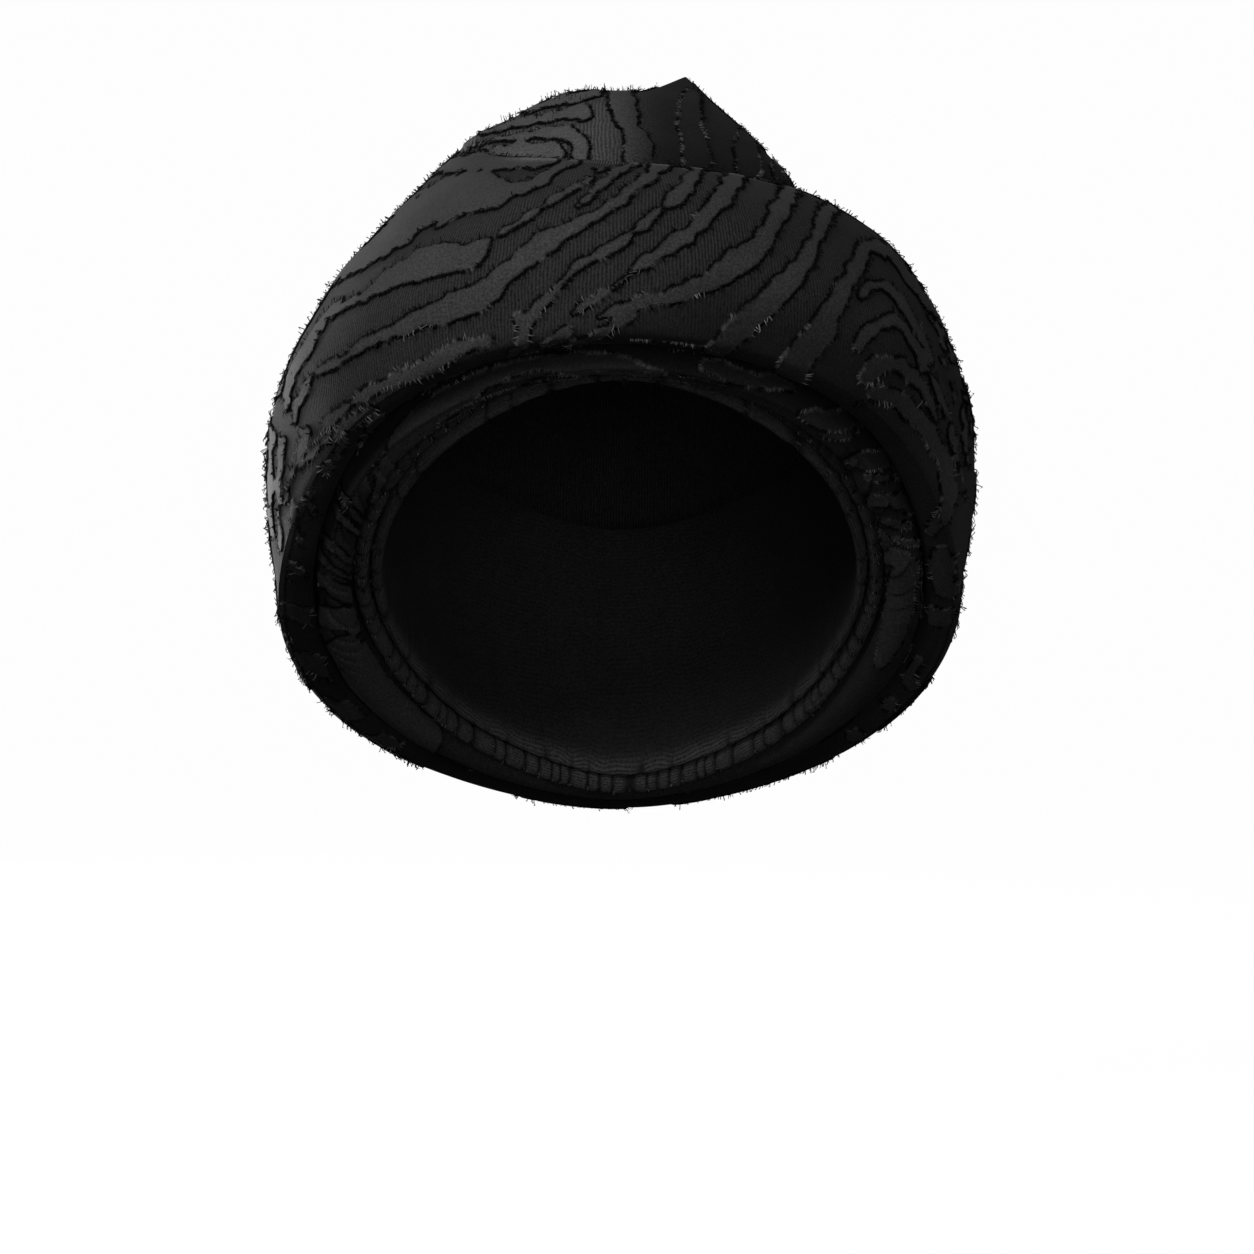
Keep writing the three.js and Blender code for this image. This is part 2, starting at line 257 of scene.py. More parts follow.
# The smooth bands of the weave on the front, each as a middle line with half widths. A step is
# GRAIN_STEP, counted right and down from the corner at GRAIN_LEFT and GRAIN_TOP in the front view.
GRAIN_STEP = 0.836
GRAIN_LEFT = -119.5
GRAIN_TOP = 168.3
FRONT_EYE = (1.65, -1200.0, -18.8)
OUTER_GRAIN = (
    ((8, 132, 1), (10, 120, 1.2), (13.5, 110, 1.4), (18, 101, 1.5), (24, 93, 1.6), (30, 86, 2),
     (40, 79, 4), (50, 72, 4.5), (60, 63, 6), (70, 57.5, 7.5), (80, 53, 7.8), (90, 52, 7),
     (100, 52, 2.8), (110, 48.7, 2.4), (118, 42.5, 1.5), (124, 41, 1.2)),
    ((10.5, 137, 1.4), (13, 126, 1.6), (17.5, 116.5, 1.8), (22.5, 107.5, 1.7), (27, 101.5, 1.7),
     (33, 97.5, 1.7), (40, 94.5, 1.7), (46, 90.5, 2.2), (52, 86, 3.5), (60, 82.5, 4.5), (69, 79, 5.8),
     (77, 78.5, 5.8), (84, 76.5, 4.2), (90, 71.5, 2), (92.5, 69.8, 0.8)),
    ((88, 74, 1.4), (93, 70.3, 0.9), (98, 67.2, 0.8), (104, 63.2, 0.9), (110.5, 59, 1),
     (121, 52.2, 1.1), (130, 47.6, 1), (135, 43.5, 0.8)),
    ((125, 58, 1), (130, 54, 1.4), (135, 49.5, 1.6), (140, 45.5, 1.6), (145, 42.5, 1.4), (149, 41, 1)),
    ((13.5, 143, 1.2), (16, 134, 1.3), (20, 126, 1.4), (26, 121.5, 1.4), (33, 118, 1.4), (40, 113, 1.8),
     (48, 109, 2.2), (56, 105.5, 2.8), (64, 102, 3.6), (72, 99, 4.2), (80, 96, 5), (87, 93, 5),
     (93, 88, 4.2), (99, 83, 4), (106, 77, 4.2), (113, 71.5, 3.8), (119, 68.5, 3), (125, 65, 2.5),
     (131, 62.5, 2), (137, 59, 2), (143, 54.5, 2), (148, 50, 2), (153, 47, 2.2), (157, 43, 2.2),
     (162, 41.2, 1.4)),
    ((27, 143, 1.5), (33, 138, 1.6), (40, 133, 1.8), (48, 128.5, 1.8), (56, 125.5, 2.5), (65, 121.5, 3),
     (74, 116.5, 3.4), (83, 112.5, 2.2), (91, 110.8, 1)),
    ((104.5, 108, 1.8), (105, 104, 2.2), (109, 98.5, 1.8), (115, 93, 1.6), (120, 87.5, 1.6),
     (125, 81.5, 1.8), (132, 77.5, 2), (140, 73.5, 1.8), (145, 70, 1.5), (151, 65.5, 1.5),
     (157, 60, 1.8), (163, 54.8, 2.6), (168, 50, 2.6), (172.5, 43.5, 2)),
    ((121.5, 102, 1), (126, 98.5, 1), (131, 95.5, 1), (137, 91.5, 1), (143, 87.2, 1.2), (149, 81.5, 2),
     (156, 77.5, 2), (162, 73.5, 2.8), (169, 69, 3), (176, 62, 3.2), (181, 56, 3.4), (185, 50, 3.8),
     (188, 45.8, 3.4)),
    ((134, 101.5, 1.4), (142, 99, 2.2), (150, 96, 2.4), (158, 94.5, 2), (166, 92, 2.8),
     (174, 89.5, 3.2), (181, 85.5, 4), (188, 80.5, 5), (194, 76.5, 4.5), (199, 70.5, 3.6),
     (203, 64, 3.4), (206, 58, 3.6), (209, 52.8, 3)),
    ((180, 115, 4), (184, 111, 4), (189, 106, 4.2), (194, 101, 4.5), (200, 96, 4.8), (206, 90, 4.5),
     (212, 84, 4.2), (216, 78, 3), (219, 72, 2.6), (221, 66, 2.8), (223, 61.2, 3), (226, 58.5, 2.2)),
    ((207, 126, 5), (212, 120, 5.5), (217, 113, 5.5), (221, 107, 5), (225, 100, 4), (228.7, 93, 3.6),
     (232.7, 86, 3.2), (235.7, 80, 3), (238, 75.2, 2.8), (243, 73.5, 2.4), (248, 76.5, 2),
     (253, 82, 1.8), (258, 89, 1.6), (264, 98, 1.4), (269, 108, 1.2), (273, 118, 1)),
    ((237, 93, 1.4), (241, 89.5, 1.6), (247, 89.5, 1.8), (251.5, 94.5, 1.8), (256, 102, 1.8),
     (260.5, 110, 1.6), (265, 119, 1.4)),
    ((236, 113, 2), (239, 108.5, 2.4), (244, 104.5, 2.2), (250, 102.5, 2), (254.5, 106.5, 1.8),
     (259, 114, 1.6), (262, 122, 1.4)),
    ((239, 125, 3), (244, 120.5, 3.4), (250, 119.5, 2.6), (256, 123.5, 2.2), (262, 130, 1.8),
     (265, 137, 1.2), (266.5, 142, 0.9)),
    ((263.5, 122.5, 0.8), (268, 132.5, 1), (271.5, 141.5, 1), (274, 152, 1), (276, 162, 0.9),
     (277.2, 172, 0.8)),
    ((268.5, 118, 0.8), (272.5, 128, 0.9), (275.5, 138, 0.9), (277.5, 149, 0.9), (279, 160, 0.8)),
    ((277.6, 128, 0.7), (279.6, 138, 0.7), (280.6, 148, 0.7)),
    ((236, 136, 1), (243, 131.5, 2.2), (251.7, 134, 3), (257, 139, 3.2), (262.7, 145.5, 3),
     (266.7, 152, 2.8), (269.6, 158.5, 2.6), (271.3, 165, 2.6), (272, 171.6, 2.8), (270.8, 177.4, 2.8),
     (268, 182, 2.4), (265, 186, 1.6)),
    ((9.6, 216, 2.6), (15.4, 218.5, 3.4), (22.3, 219, 3.4)),
    ((14.8, 234.7, 1.8), (21.2, 237.6, 3.2), (28.1, 241, 3.4), (32.8, 245, 2.8)),
    ((25.8, 253, 1.8), (32.8, 256, 3.2), (39.7, 256.7, 3), (43.2, 258, 2.3)),
    ((42, 267, 1.2), (47.8, 267.7, 2.3), (53.6, 268.3, 2.3)),
    ((268.5, 195.5, 3.5), (269.6, 199, 4.6), (270.2, 204, 4.6), (270.5, 208, 4)),
    ((264.4, 217.5, 2.9), (267.9, 220, 3.5), (271.9, 219, 2.3)),
    ((259.2, 237.6, 1.7), (255.1, 242.2, 2.6), (256.9, 245.7, 2.3)),
    ((245.3, 253.2, 2), (248.8, 254.4, 2.3)),
    ((230.2, 264.2, 2.3), (234.3, 266, 2.6), (236.6, 266.6, 1.7)),
    ((5.3, 145.5, 1.2), (5, 157, 1.3), (4.7, 168.7, 1.2), (5.3, 180, 0.9), (6.1, 189, 0.8)),
    ((9, 150, 1), (8.7, 157, 0.9), (7.7, 166, 0.8), (7.7, 174.5, 0.8), (7.9, 183, 0.8),
     (8.5, 192, 0.8)),
    ((19, 146.5, 2), (15.9, 156, 1.6), (13.1, 163, 1.3), (11.4, 170, 1.1), (10.8, 177, 1)),
    ((27, 159.4, 1), (25.2, 165.2, 1.1), (21.2, 168.7, 1.1), (19.7, 174.5, 1), (21.5, 179, 0.8)),
    ((12, 198.6, 0.8), (15.5, 201.5, 1), (19, 203.6, 0.8)),
    ((15.8, 160.8, 0.8), (22, 154.2, 1), (30, 147.4, 1), (38, 142, 1.1), (45, 137.6, 1)),
    ((16, 191, 0.8), (13.4, 181, 0.9), (12.8, 173, 0.9)),
    ((32.8, 150, 1.4), (30.4, 156, 1.1)),
    ((50, 141, 1.3), (44.3, 144, 1.3), (39.7, 150, 1)),
    ((72, 43.3, 2), (80, 41.4, 3), (90, 40.2, 3.4), (100, 39.6, 3.4), (110, 39.4, 3), (116, 39.6, 2)),
    ((102, 102, 1.8), (105, 106, 1.8), (104, 111.5, 1.4), (100, 116, 1)),
    ((109.5, 114.5, 1), (117, 109.5, 1.6), (123, 106, 1.4)),
    ((124, 111.5, 0.8), (132, 109, 1.4), (140, 104, 1.8), (147, 100, 1.9)),
)
UNDER_GRAIN = (
    ((46, 174, 2.5), (49, 166, 3.5), (53, 157, 4.5), (58, 148.5, 5), (64.4, 142, 4.8), (71, 136, 4.4),
     (82, 130, 4.2), (93, 124, 3.3), (104, 120.6, 2.7), (115.3, 119.4, 3), (130.7, 119.9, 4.4),
     (141.8, 120.8, 4), (150.6, 122.2, 2.2), (159.5, 123.9, 0.8)),
    ((176, 120.5, 2.4), (185.8, 123.7, 3.2), (194.2, 126.5, 2.4), (202.6, 126.8, 3), (210, 129, 1.6)),
    ((214, 140, 1.5), (222, 142, 3.5), (231, 142, 4), (238, 141, 2)),
    ((234, 158.5, 2), (241, 158, 3.5), (248, 157.5, 3.5), (253, 156.5, 2)),
    ((242, 173.5, 2), (249, 174, 2.6), (256, 175.5, 3), (262, 177, 2)),
    ((250, 196, 3), (255, 199, 4), (254.5, 204, 5), (253.4, 208, 5.2), (252.2, 216.8, 4.9),
     (250.5, 224.3, 4.3), (247.6, 232.4, 3.5), (244.7, 238.2, 2)),
    ((34, 236.5, 9.5), (39, 244, 10), (46, 252, 10), (54, 260, 9), (64, 267, 8)),
    ((222, 147.5, 0.7), (229, 148.5, 0.9), (236, 147, 0.7)),
    ((240, 164.5, 0.8), (247, 165, 1), (253, 163.5, 0.8)),
    ((246, 181.5, 0.8), (252, 183.5, 1), (258, 184.5, 0.8)),
    ((247, 187.5, 0.7), (254, 190, 0.9), (260, 190.5, 0.7)),
    ((31.6, 168.5, 1.1), (34.2, 174.2, 1.5), (38, 180, 1.6), (41, 183.5, 1.2)),
    ((29.6, 175, 0.9), (32, 180, 1.3), (36, 184.2, 1.3), (39, 187, 1)),
    ((25, 186, 1), (28, 191, 1.5), (32.5, 195.4, 1.5), (36, 198, 1.1)),
    ((23.6, 194, 0.9), (26.6, 198.8, 1.4), (31, 202.2, 1.4), (35, 204, 1.1)),
    ((22, 203, 1.2), (27, 207, 2.6), (32, 210, 3.2), (37, 212, 3)),
    ((24, 219, 3.5), (31, 220, 4.5), (37, 221.5, 5)),
)
CROWN_GRAIN = (
    ((70, 47, 1.5), (81.5, 43, 4.4), (92, 40, 4.8), (104, 38, 4.8), (113.5, 37.4, 4.6), (117, 38, 3.4)),
    ((84, 34.6, 0.9), (94.7, 31.4, 1.2), (103.6, 30.3, 1.4), (114.6, 29, 2), (121, 29.4, 2.5),
     (126.4, 32.8, 3), (126.8, 38.5, 3.5)),
    ((88, 29.3, 0.8), (96, 26.6, 1.3), (103.6, 25, 1.7), (114.6, 23, 1.6), (122.4, 21.6, 2),
     (128, 21, 3.2)),
    ((104, 20, 0.9), (111.3, 18.8, 1), (119, 16.2, 1.9), (128, 14.6, 1.7), (134, 14.2, 1.4)),
    ((142.5, 15, 5), (144, 21.5, 4.8), (146.2, 28, 3), (149, 33, 5), (149, 38.5, 5.5)),
    ((170.2, 16, 3.5), (169.7, 24, 4.5), (171.2, 32, 4.5), (171.7, 39, 5.5)),
    ((191.2, 30, 2.5), (191.7, 36, 4.5), (192.7, 43, 5)),
    ((204, 43, 1.5), (205.5, 47, 1.2)),
)


def smooth(low, high, value):
    """Goes from 0 at low to 1 at high without a corner."""
    t = np.clip((value - low) / (high - low), 0, 1)
    return t * t * (3 - 2 * t)


def unit(vectors):
    return vectors / np.maximum(np.linalg.norm(vectors, axis=-1), 1e-9)[..., None]


def stretch(value, start, full, fade, end):
    """1 from full to fade, going smoothly to 0 at start and at end."""
    return smooth(start, full, value) * (1 - smooth(fade, end, value))


def around(column, angle):
    """Reads a column of values round the head smoothly at any angle."""
    table = np.asarray(column, float)
    place = (angle / TAU % 1) * len(table)
    row = np.floor(place).astype(int)
    t = place - row
    a, b, c, d = (table[(row + k) % len(table)] for k in (-1, 0, 1, 2))
    return b + t * ((c - a) / 2 + t * ((2 * a - 5 * b + 4 * c - d) + t * (3 * b - a - 3 * c + d)) / 2)


def waves(points, length, seed, count=8):
    """A smooth random height over points, mostly within 1, in waves of about the given length."""
    draw = np.random.default_rng(seed)
    heading = unit(draw.normal(size=(count, 3)))
    pitch = TAU / (length * draw.uniform(0.7, 1.5, count))
    phase = draw.uniform(0, TAU, count)
    return np.sin(points @ (heading * pitch[:, None]).T + phase).sum(axis=-1) / math.sqrt(count)


def angle_of(points):
    """Angles of points round the head, from the front towards +X."""
    return np.arctan2(points[..., 0], -points[..., 1])


def turn_angles(turns):
    """Angles round the head, closer together at the front."""
    way = np.arange(turns) * TAU / turns
    return way - FRONT_SHARE * np.sin(way)


def line_through(controls, places):
    """Points and headings of the smooth line through controls, at places counted in controls."""
    last = len(controls) - 1
    row = np.minimum(np.floor(places).astype(int), last - 1)
    t = (places - row)[:, None, None]
    a, b, c, d = (controls[np.clip(row + k, 0, last)] for k in (-1, 0, 1, 2))
    leave, reach = (c - a) / 2, (d - b) / 2
    cube = 2 * b - 2 * c + leave + reach
    square = -3 * b + 3 * c - 2 * leave - reach
    points = ((cube * t + square) * t + leave) * t + b
    headings = (3 * cube * t + 2 * square) * t + leave
    return points, unit(headings)


def wall(controls, front_places, back_places, front_half, back_half):
    """The section of a cloth wall at every angle: down its front skin and back up its other one."""
    skins = []
    for places, half in ((front_places, front_half), (back_places, -back_half)):
        points, heading = line_through(controls, places)
        out = np.stack([heading[..., 1], -heading[..., 0]], axis=-1)
        skins.append(points + out * half[:, None, None])
    return np.concatenate(skins)


def rows(*stretches):
    """Places along a section: each stretch is its first control, its last control and its steps."""
    parts = [np.linspace(a, b, steps, endpoint=False) for a, b, steps in stretches]
    return np.concatenate([*parts, [stretches[-1][1]]])


def ring_points(section, angle):
    """Puts a section, in distance out from the head and height, round the head."""
    x = (HEAD_HALF_WIDTH + section[..., 0]) * np.sin(angle)
    y = -(HEAD_HALF_LENGTH + section[..., 0]) * np.cos(angle)
    return np.stack([x, y, section[..., 1]], axis=-1)


def ring_normals(points):
    """Outward normals of a grid of points that is closed round the head and round its section."""
    along = np.roll(points, -1, axis=0) - np.roll(points, 1, axis=0)
    across = np.roll(points, -1, axis=1) - np.roll(points, 1, axis=1)
    return unit(np.cross(across, along))


def grid_triangles(grid, closed=True):
    """Triangles of a grid that is closed round the head, and round its section too if closed."""
    row_count, turn_count = grid.shape[:2]
    last = row_count if closed else row_count - 1
    i, j = np.meshgrid(np.arange(last), np.arange(turn_count), indexing="ij")
    down, on = (i + 1) % row_count, (j + 1) % turn_count
    a, b = i * turn_count + j, i * turn_count + on
    c, d = down * turn_count + on, down * turn_count + j
    flip = ((i + j) % 2 == 0)[..., None]
    one = np.where(flip, np.stack([a, b, c], -1), np.stack([a, b, d], -1))
    two = np.where(flip, np.stack([a, c, d], -1), np.stack([b, c, d], -1))
    return np.concatenate([one.reshape(-1, 3), two.reshape(-1, 3)])


def stroke_field(points, strokes):
    """How far points lie inside the smooth bands, as seen from the front, or outside if negative."""
    reach = -FRONT_EYE[1] / (points[:, 1] - FRONT_EYE[1])
    x = FRONT_EYE[0] + (points[:, 0] - FRONT_EYE[0]) * reach
    z = FRONT_EYE[2] + (points[:, 2] - FRONT_EYE[2]) * reach
    field = np.full(len(points), -1e3)
    for stroke in strokes:
        controls = np.asarray(stroke, float)[:, None, :]
        dense = line_through(controls, np.arange(0, len(stroke) - 0.99, 0.125))[0][:, 0]
        for right, down, half in dense:
            gap = np.hypot(x - GRAIN_LEFT - right * GRAIN_STEP, z - GRAIN_TOP + down * GRAIN_STEP)
            np.maximum(field, half * GRAIN_STEP - gap, out=field)
    return field


def wave_field(points, shift=0.0):
    """The same measure as stroke_field for the level waves of the sides and the back."""
    angle = angle_of(points)
    phase = (points[:, 2] + GRAIN_FALL * (1 - np.cos(angle))) / GRAIN_PERIOD + shift
    phase = phase + 0.5 * np.sin(angle * 2 + 0.7) + 0.3 * np.sin(angle * 5 + points[:, 2] / 33)
    phase = phase + 0.3 * waves(points, 70, 11)
    for turn, height, wide, tall, rings in KNOTS:
        off = (np.degrees(angle) - turn + 180) % 360 - 180
        off = np.radians(off) * UNROLLED_RADIUS / wide
        up = (points[:, 2] - height) / tall
        phase = phase + rings * np.exp(-off * off - up * up)
    middle = np.abs(phase % 1 - 0.5) * 2
    return (GRAIN_SHARE - middle) * GRAIN_PERIOD / 2


def crown_waves(points):
    """The same waves over the crown, level across its back."""
    x, y, z = points.T
    return wave_field(np.stack([x, y + 90, 0.5 * z - y], axis=-1), 0.3)


def grain_field(points, normals, strokes, rest):
    """The front view's strokes on what faces the front, and another field on the rest."""
    ray = points - np.array(FRONT_EYE)
    facing = (ray * normals).sum(axis=1) / np.linalg.norm(ray, axis=1)
    turned = smooth(-0.12, 0.08, facing)
    drawn = np.clip(stroke_field(points, strokes), -4, 4)
    return drawn * (1 - turned) + np.clip(rest, -4, 4) * turned


def ragged(points, seed):
    """The small wandering of a clipped edge."""
    return sum(depth * waves(points, length, seed + k) for k, (depth, length) in enumerate(EDGE_WAVES))


def lower_side(field, grid):
    """1 on the ground under a band, 0 on the ground over one, from a field on a grid of points."""
    rise = (np.roll(grid, -1, axis=0) - np.roll(grid, 1, axis=0))[..., 2]
    slope = np.roll(field, -1, axis=0) - np.roll(field, 1, axis=0)
    return smooth(-1, 1, slope * np.sign(rise) / np.maximum(np.abs(rise), 0.2)).ravel()


def cut_bands(points, normals, triangles, field, lower):
    """Cuts a cloth mesh along the edges of its smooth bands and lifts the bands from the ground.

    Returns the points, the triangles, the values on each point and the clipped edges with their ways.
    """
    inside = field > 0
    corners = inside[triangles]
    count = corners.sum(axis=1)
    mixed = (count == 1) | (count == 2)
    tri = triangles[mixed]
    odd_inside = count[mixed] == 1
    odd = np.where(odd_inside, corners[mixed].argmax(axis=1), corners[mixed].argmin(axis=1))
    line = np.arange(len(tri))
    o, p, q = (tri[line, (odd + k) % 3] for k in range(3))

    pairs = np.sort(np.concatenate([np.stack([o, p], 1), np.stack([o, q], 1)]), axis=1)
    pairs, where = np.unique(pairs, axis=0, return_inverse=True)
    first, second = where.reshape(2, -1)
    one, two = pairs.T
    t = np.clip(field[one] / (field[one] - field[two]), CUT_LEAST, 1 - CUT_LEAST)[:, None]
    cut = points[one] * (1 - t) + points[two] * t
    cut_normal = unit(normals[one] * (1 - t) + normals[two] * t)

    # The way off a band at each cut, from the inside corner to the outside one.
    off = (points[two] - points[one]) * np.where(inside[one], 1, -1)[:, None]

    # Each cut has a point on the ground and one on the band, with a step between them.
    ground = len(points) + np.arange(len(pairs))
    band = ground + len(pairs)
    a, b = np.where(odd_inside, [band[first], band[second]], [ground[first], ground[second]])
    c, d = np.where(odd_inside, [ground[first], ground[second]], [band[first], band[second]])
    parts = ((o, a, b), (c, p, q), (c, q, d), (b, a, c), (b, c, d))
    faces = np.concatenate([triangles[~mixed], *(np.stack(part, 1) for part in parts)])

    swell = BAND_RISE * (BAND_EDGE + (1 - BAND_EDGE) * smooth(0, 2.5, field))
    dip = GROUND_DIP * np.exp(-np.maximum(-field, 0) / DIP_REACH)
    placed = np.concatenate([
        points + normals * np.where(inside, swell, -dip)[:, None],
        cut - cut_normal * GROUND_DIP,
        cut + cut_normal * BAND_RISE * BAND_EDGE,
    ])

    # Painted shade on the ground beside the clipped edges, wider under lower edges than beside upper ones.
    below = smooth(-0.35, 0.35, -unit(off)[:, 2])
    uncut = np.where(inside, 0.12, 0.25 + 0.6 * lower) * np.exp(-np.abs(field) / SHADE_REACH)
    values = {
        "satin": np.concatenate([inside, 0 * below, 0 * below + 1]),
        "shade": np.concatenate([uncut, 0.6 + 0.4 * below, 0.3 + 0 * below]),
    }
    side = np.cross(cut_normal[first], cut[second] - cut[first])
    side = unit(side * np.sign((side * off[first]).sum(axis=1))[:, None])
    way = np.zeros_like(cut)
    np.add.at(way, first, side)
    np.add.at(way, second, side)
    edges = {
        "rim": placed[band], "foot": placed[ground], "normal": cut_normal, "way": unit(way),
        "first": first, "second": second,
    }
    return placed, faces, values, edges


def cloth_object(name, points, triangles, values):
    """Makes a mesh object of triangles in millimetres, with its values on the points."""
    mesh = bpy.data.meshes.new(name)
    mesh.vertices.add(len(points))
    mesh.vertices.foreach_set("co", (points * MM).ravel())
    mesh.loops.add(triangles.size)
    mesh.loops.foreach_set("vertex_index", triangles.ravel().astype(np.int32))
    mesh.polygons.add(len(triangles))
    mesh.polygons.foreach_set("loop_start", np.arange(0, triangles.size, 3, dtype=np.int32))
    for key, value in values.items():
        mesh.attributes.new(key, "FLOAT", "POINT").data.foreach_set("value", value.astype(np.float32))
    mesh.update(calc_edges=True)
    mesh.validate()
    piece = bpy.data.objects.new(name, mesh)
    bpy.context.scene.collection.objects.link(piece)
    return piece


def pick(piece):
    bpy.ops.object.select_all(action="DESELECT")
    piece.select_set(True)
    bpy.context.view_layer.objects.active = piece


def weld_and_smooth(piece, degrees):
    """Closes the poles and seams, and keeps the clipped edges sharp."""
    pick(piece)
    bpy.ops.object.mode_set(mode="EDIT")
    bpy.ops.mesh.select_all(action="SELECT")
    bpy.ops.mesh.remove_doubles(threshold=1e-6)
    bpy.ops.object.mode_set(mode="OBJECT")
    bpy.ops.object.shade_smooth_by_angle(angle=math.radians(degrees))


def fringe(edges, seed, glints=None):
    """The dark ragged line beside each clipped edge, for clipped threads and painted shadow: a ramp from
    the band's rim down to the ground.

    Where glints, a function of place, is high, the rim is painted light, as a frayed line of painted
    glints.
    """
    draw = np.random.default_rng(seed)
    first, second = edges["first"], edges["second"]
    spread = []
    for least, most in (FRINGE_WIDTH, FRINGE_LAP):
        width = draw.uniform(least, most, (len(first), FRINGE_STEPS + 1))
        at_cut = draw.uniform(least, most, len(edges["rim"]))
        width[:, 0], width[:, -1] = at_cut[first], at_cut[second]
        spread.append(width[..., None])
    t = np.linspace(0, 1, FRINGE_STEPS + 1)[None, :, None]
    rim, foot, normal, way = (
        edges[name][first][:, None] * (1 - t) + edges[name][second][:, None] * t
        for name in ("rim", "foot", "normal", "way"))
    upper = rim - way * spread[1] + normal * FRINGE_LIFT
    # The line is thinner on the left flank, where the light rakes the cloth.
    thin = 1 - LEFT_THINNING * stretch(-angle_of(foot), *LEFT_FLANK)[..., None]
    lower = foot + way * spread[0] * thin + normal * FRINGE_LIFT
    points = np.stack([upper, lower], axis=2).reshape(-1, 3)
    step = np.arange(FRINGE_STEPS) * 2
    quads = np.stack([step, step + 1, step + 3, step + 2], -1)[None]
    quads = quads + (np.arange(len(first)) * 2 * (FRINGE_STEPS + 1))[:, None, None]
    turned = (np.cross(edges["way"][first], edges["rim"][second] - edges["rim"][first])
              * edges["normal"][first]).sum(axis=1) < 0
    quads = np.where(turned[:, None, None], quads[..., ::-1], quads).reshape(-1, 4)
    triangles = np.concatenate([quads[:, [0, 1, 2]], quads[:, [0, 2, 3]]])
    tint = np.zeros((len(first), FRINGE_STEPS + 1, 2))
    if glints:
        at_rim = upper.reshape(-1, 3)
        shine = smooth(0.9, 1.4, waves(at_rim, 7, seed + 1) + glints(at_rim))
        shine = shine * draw.uniform(0.1, 0.7, len(at_rim))
        tint[..., 0] = shine.reshape(tint.shape[:2])
        tint[..., 1] = 0.35 * tint[..., 0]
    return points, triangles, tint.ravel()


def threads(edges, spacing, length, thickness, seed, glints=None):
    """Clipped thread ends along edges. More of them are painted light, as glints, where glints, a function
    of place, is higher.
    """
    draw = np.random.default_rng(seed)
    first, second = edges["first"], edges["second"]
    along = edges["rim"][second] - edges["rim"][first]
    run = np.linalg.norm(along, axis=1)
    # Lower edges carry more ends than upper ones.
    dense = 0.6 + 0.4 * smooth(-0.25, 0.35, -edges["way"][first][:, 2])
    stock = np.cumsum(run * dense / spacing)
    count = int(stock[-1])
    at = np.searchsorted(stock, np.arange(count) + draw.uniform(0, 1, count)).clip(0, len(run) - 1)
    t = draw.uniform(0, 1, count)[:, None]
    base = edges["rim"][first[at]] * (1 - t) + edges["rim"][second[at]] * t
    forward = unit(along[at])
    more = glints(base) if glints else 0.0
    shine = smooth(1.3, 1.7, waves(base, 13, seed + 1) + more)
    off, normal = edges["way"][first[at]], edges["normal"][first[at]]
    return strands(base, off, forward, normal, length, thickness, shine, draw)


def strands(base, off, way, normal, length, thickness, shine, draw):
    """A joined mesh of short curled strands, each a tapered tube of three sides."""
    count = len(base)
    size = (length * draw.uniform(0.55, 1.3, count))[:, None]
    lean = draw.normal(0, 0.35, count)[:, None]
    rise = draw.uniform(0.0, 0.5, count)[:, None]
    standing = draw.uniform(0, 1, count)[:, None] < STANDING_SHARE
    rise = np.where(standing, 0.8 + rise, rise)
    size = np.where(standing, 0.6 * size, size)
    curl = draw.normal(0, 0.2, count)[:, None]
    forward = unit(off + way * lean)
    path = [
        base - off * 0.3 - normal * 0.05,
        base + (forward * 0.6 + normal * (rise + 0.1 * curl) + way * curl * 0.3) * size,
        base + (forward * 1.0 + normal * rise * 0.45 + way * curl * 0.9) * size,
    ]
    side = np.cross(forward, normal)
    thick = (thickness * draw.uniform(0.75, 1.25, count))[:, None]
    rings = []
    for step, share in enumerate((1.0, 0.9)):
        for corner in range(3):
            turn = corner * TAU / 3
            rings.append(path[step] + (side * math.cos(turn) + normal * math.sin(turn)) * thick * share)
    points = np.stack([*rings, path[2]], axis=1)
    faces = [(2, 1, 0)]
    for a, b in ((0, 1), (1, 2), (2, 0)):
        faces += [(a, b, b + 3), (a, b + 3, a + 3), (a + 3, b + 3, 6)]
    each = points.shape[1]
    triangles = (np.asarray(faces)[None] + (np.arange(count) * each)[:, None, None]).reshape(-1, 3)
    # Some ends are lighter at random; shining ends are painted light, as glints.
    tint = np.maximum(draw.uniform(0, 0.5, count) ** 3, shine * draw.uniform(0.3, 1, count))
    return points.reshape(-1, 3), triangles, np.repeat(tint, each)


def thread_object(name, parts):
    """Joins lots of strands into one piece."""
    points, faces, tint = zip(*parts)
    starts = np.cumsum([0, *map(len, points)])
    faces = np.concatenate([part + start for part, start in zip(faces, starts)])
    piece = cloth_object(name, np.concatenate(points), faces, {"tint": np.concatenate(tint)})
    pick(piece)
    bpy.ops.object.shade_smooth()
    return piece


def tufts(grid, normals, row, columns, off, each, length, thickness, seed, shine):
    """Thread ends that stick out in small tufts, at some columns of one row of a grid."""
    draw = np.random.default_rng(seed)
    column = np.repeat(columns, each)
    count = len(column)
    turns = grid.shape[1]
    step = draw.integers(-1, 2, count)
    line = (row + draw.integers(-1, 2, count)) % grid.shape[0]
    base = grid[line, (column + step) % turns]
    along = unit(grid[line, (column + step + 1) % turns] - base)
    normal = normals[line, (column + step) % turns]
    out = unit(off + normal * 0.5 + along * draw.normal(0, 0.5, count)[:, None])
    # A share of the ends is painted light, as glints.
    glow = shine * (draw.uniform(0, 1, count) < TUFT_SHINE_SHARE)
    return strands(base, out, along, normal, length, thickness, glow, draw)


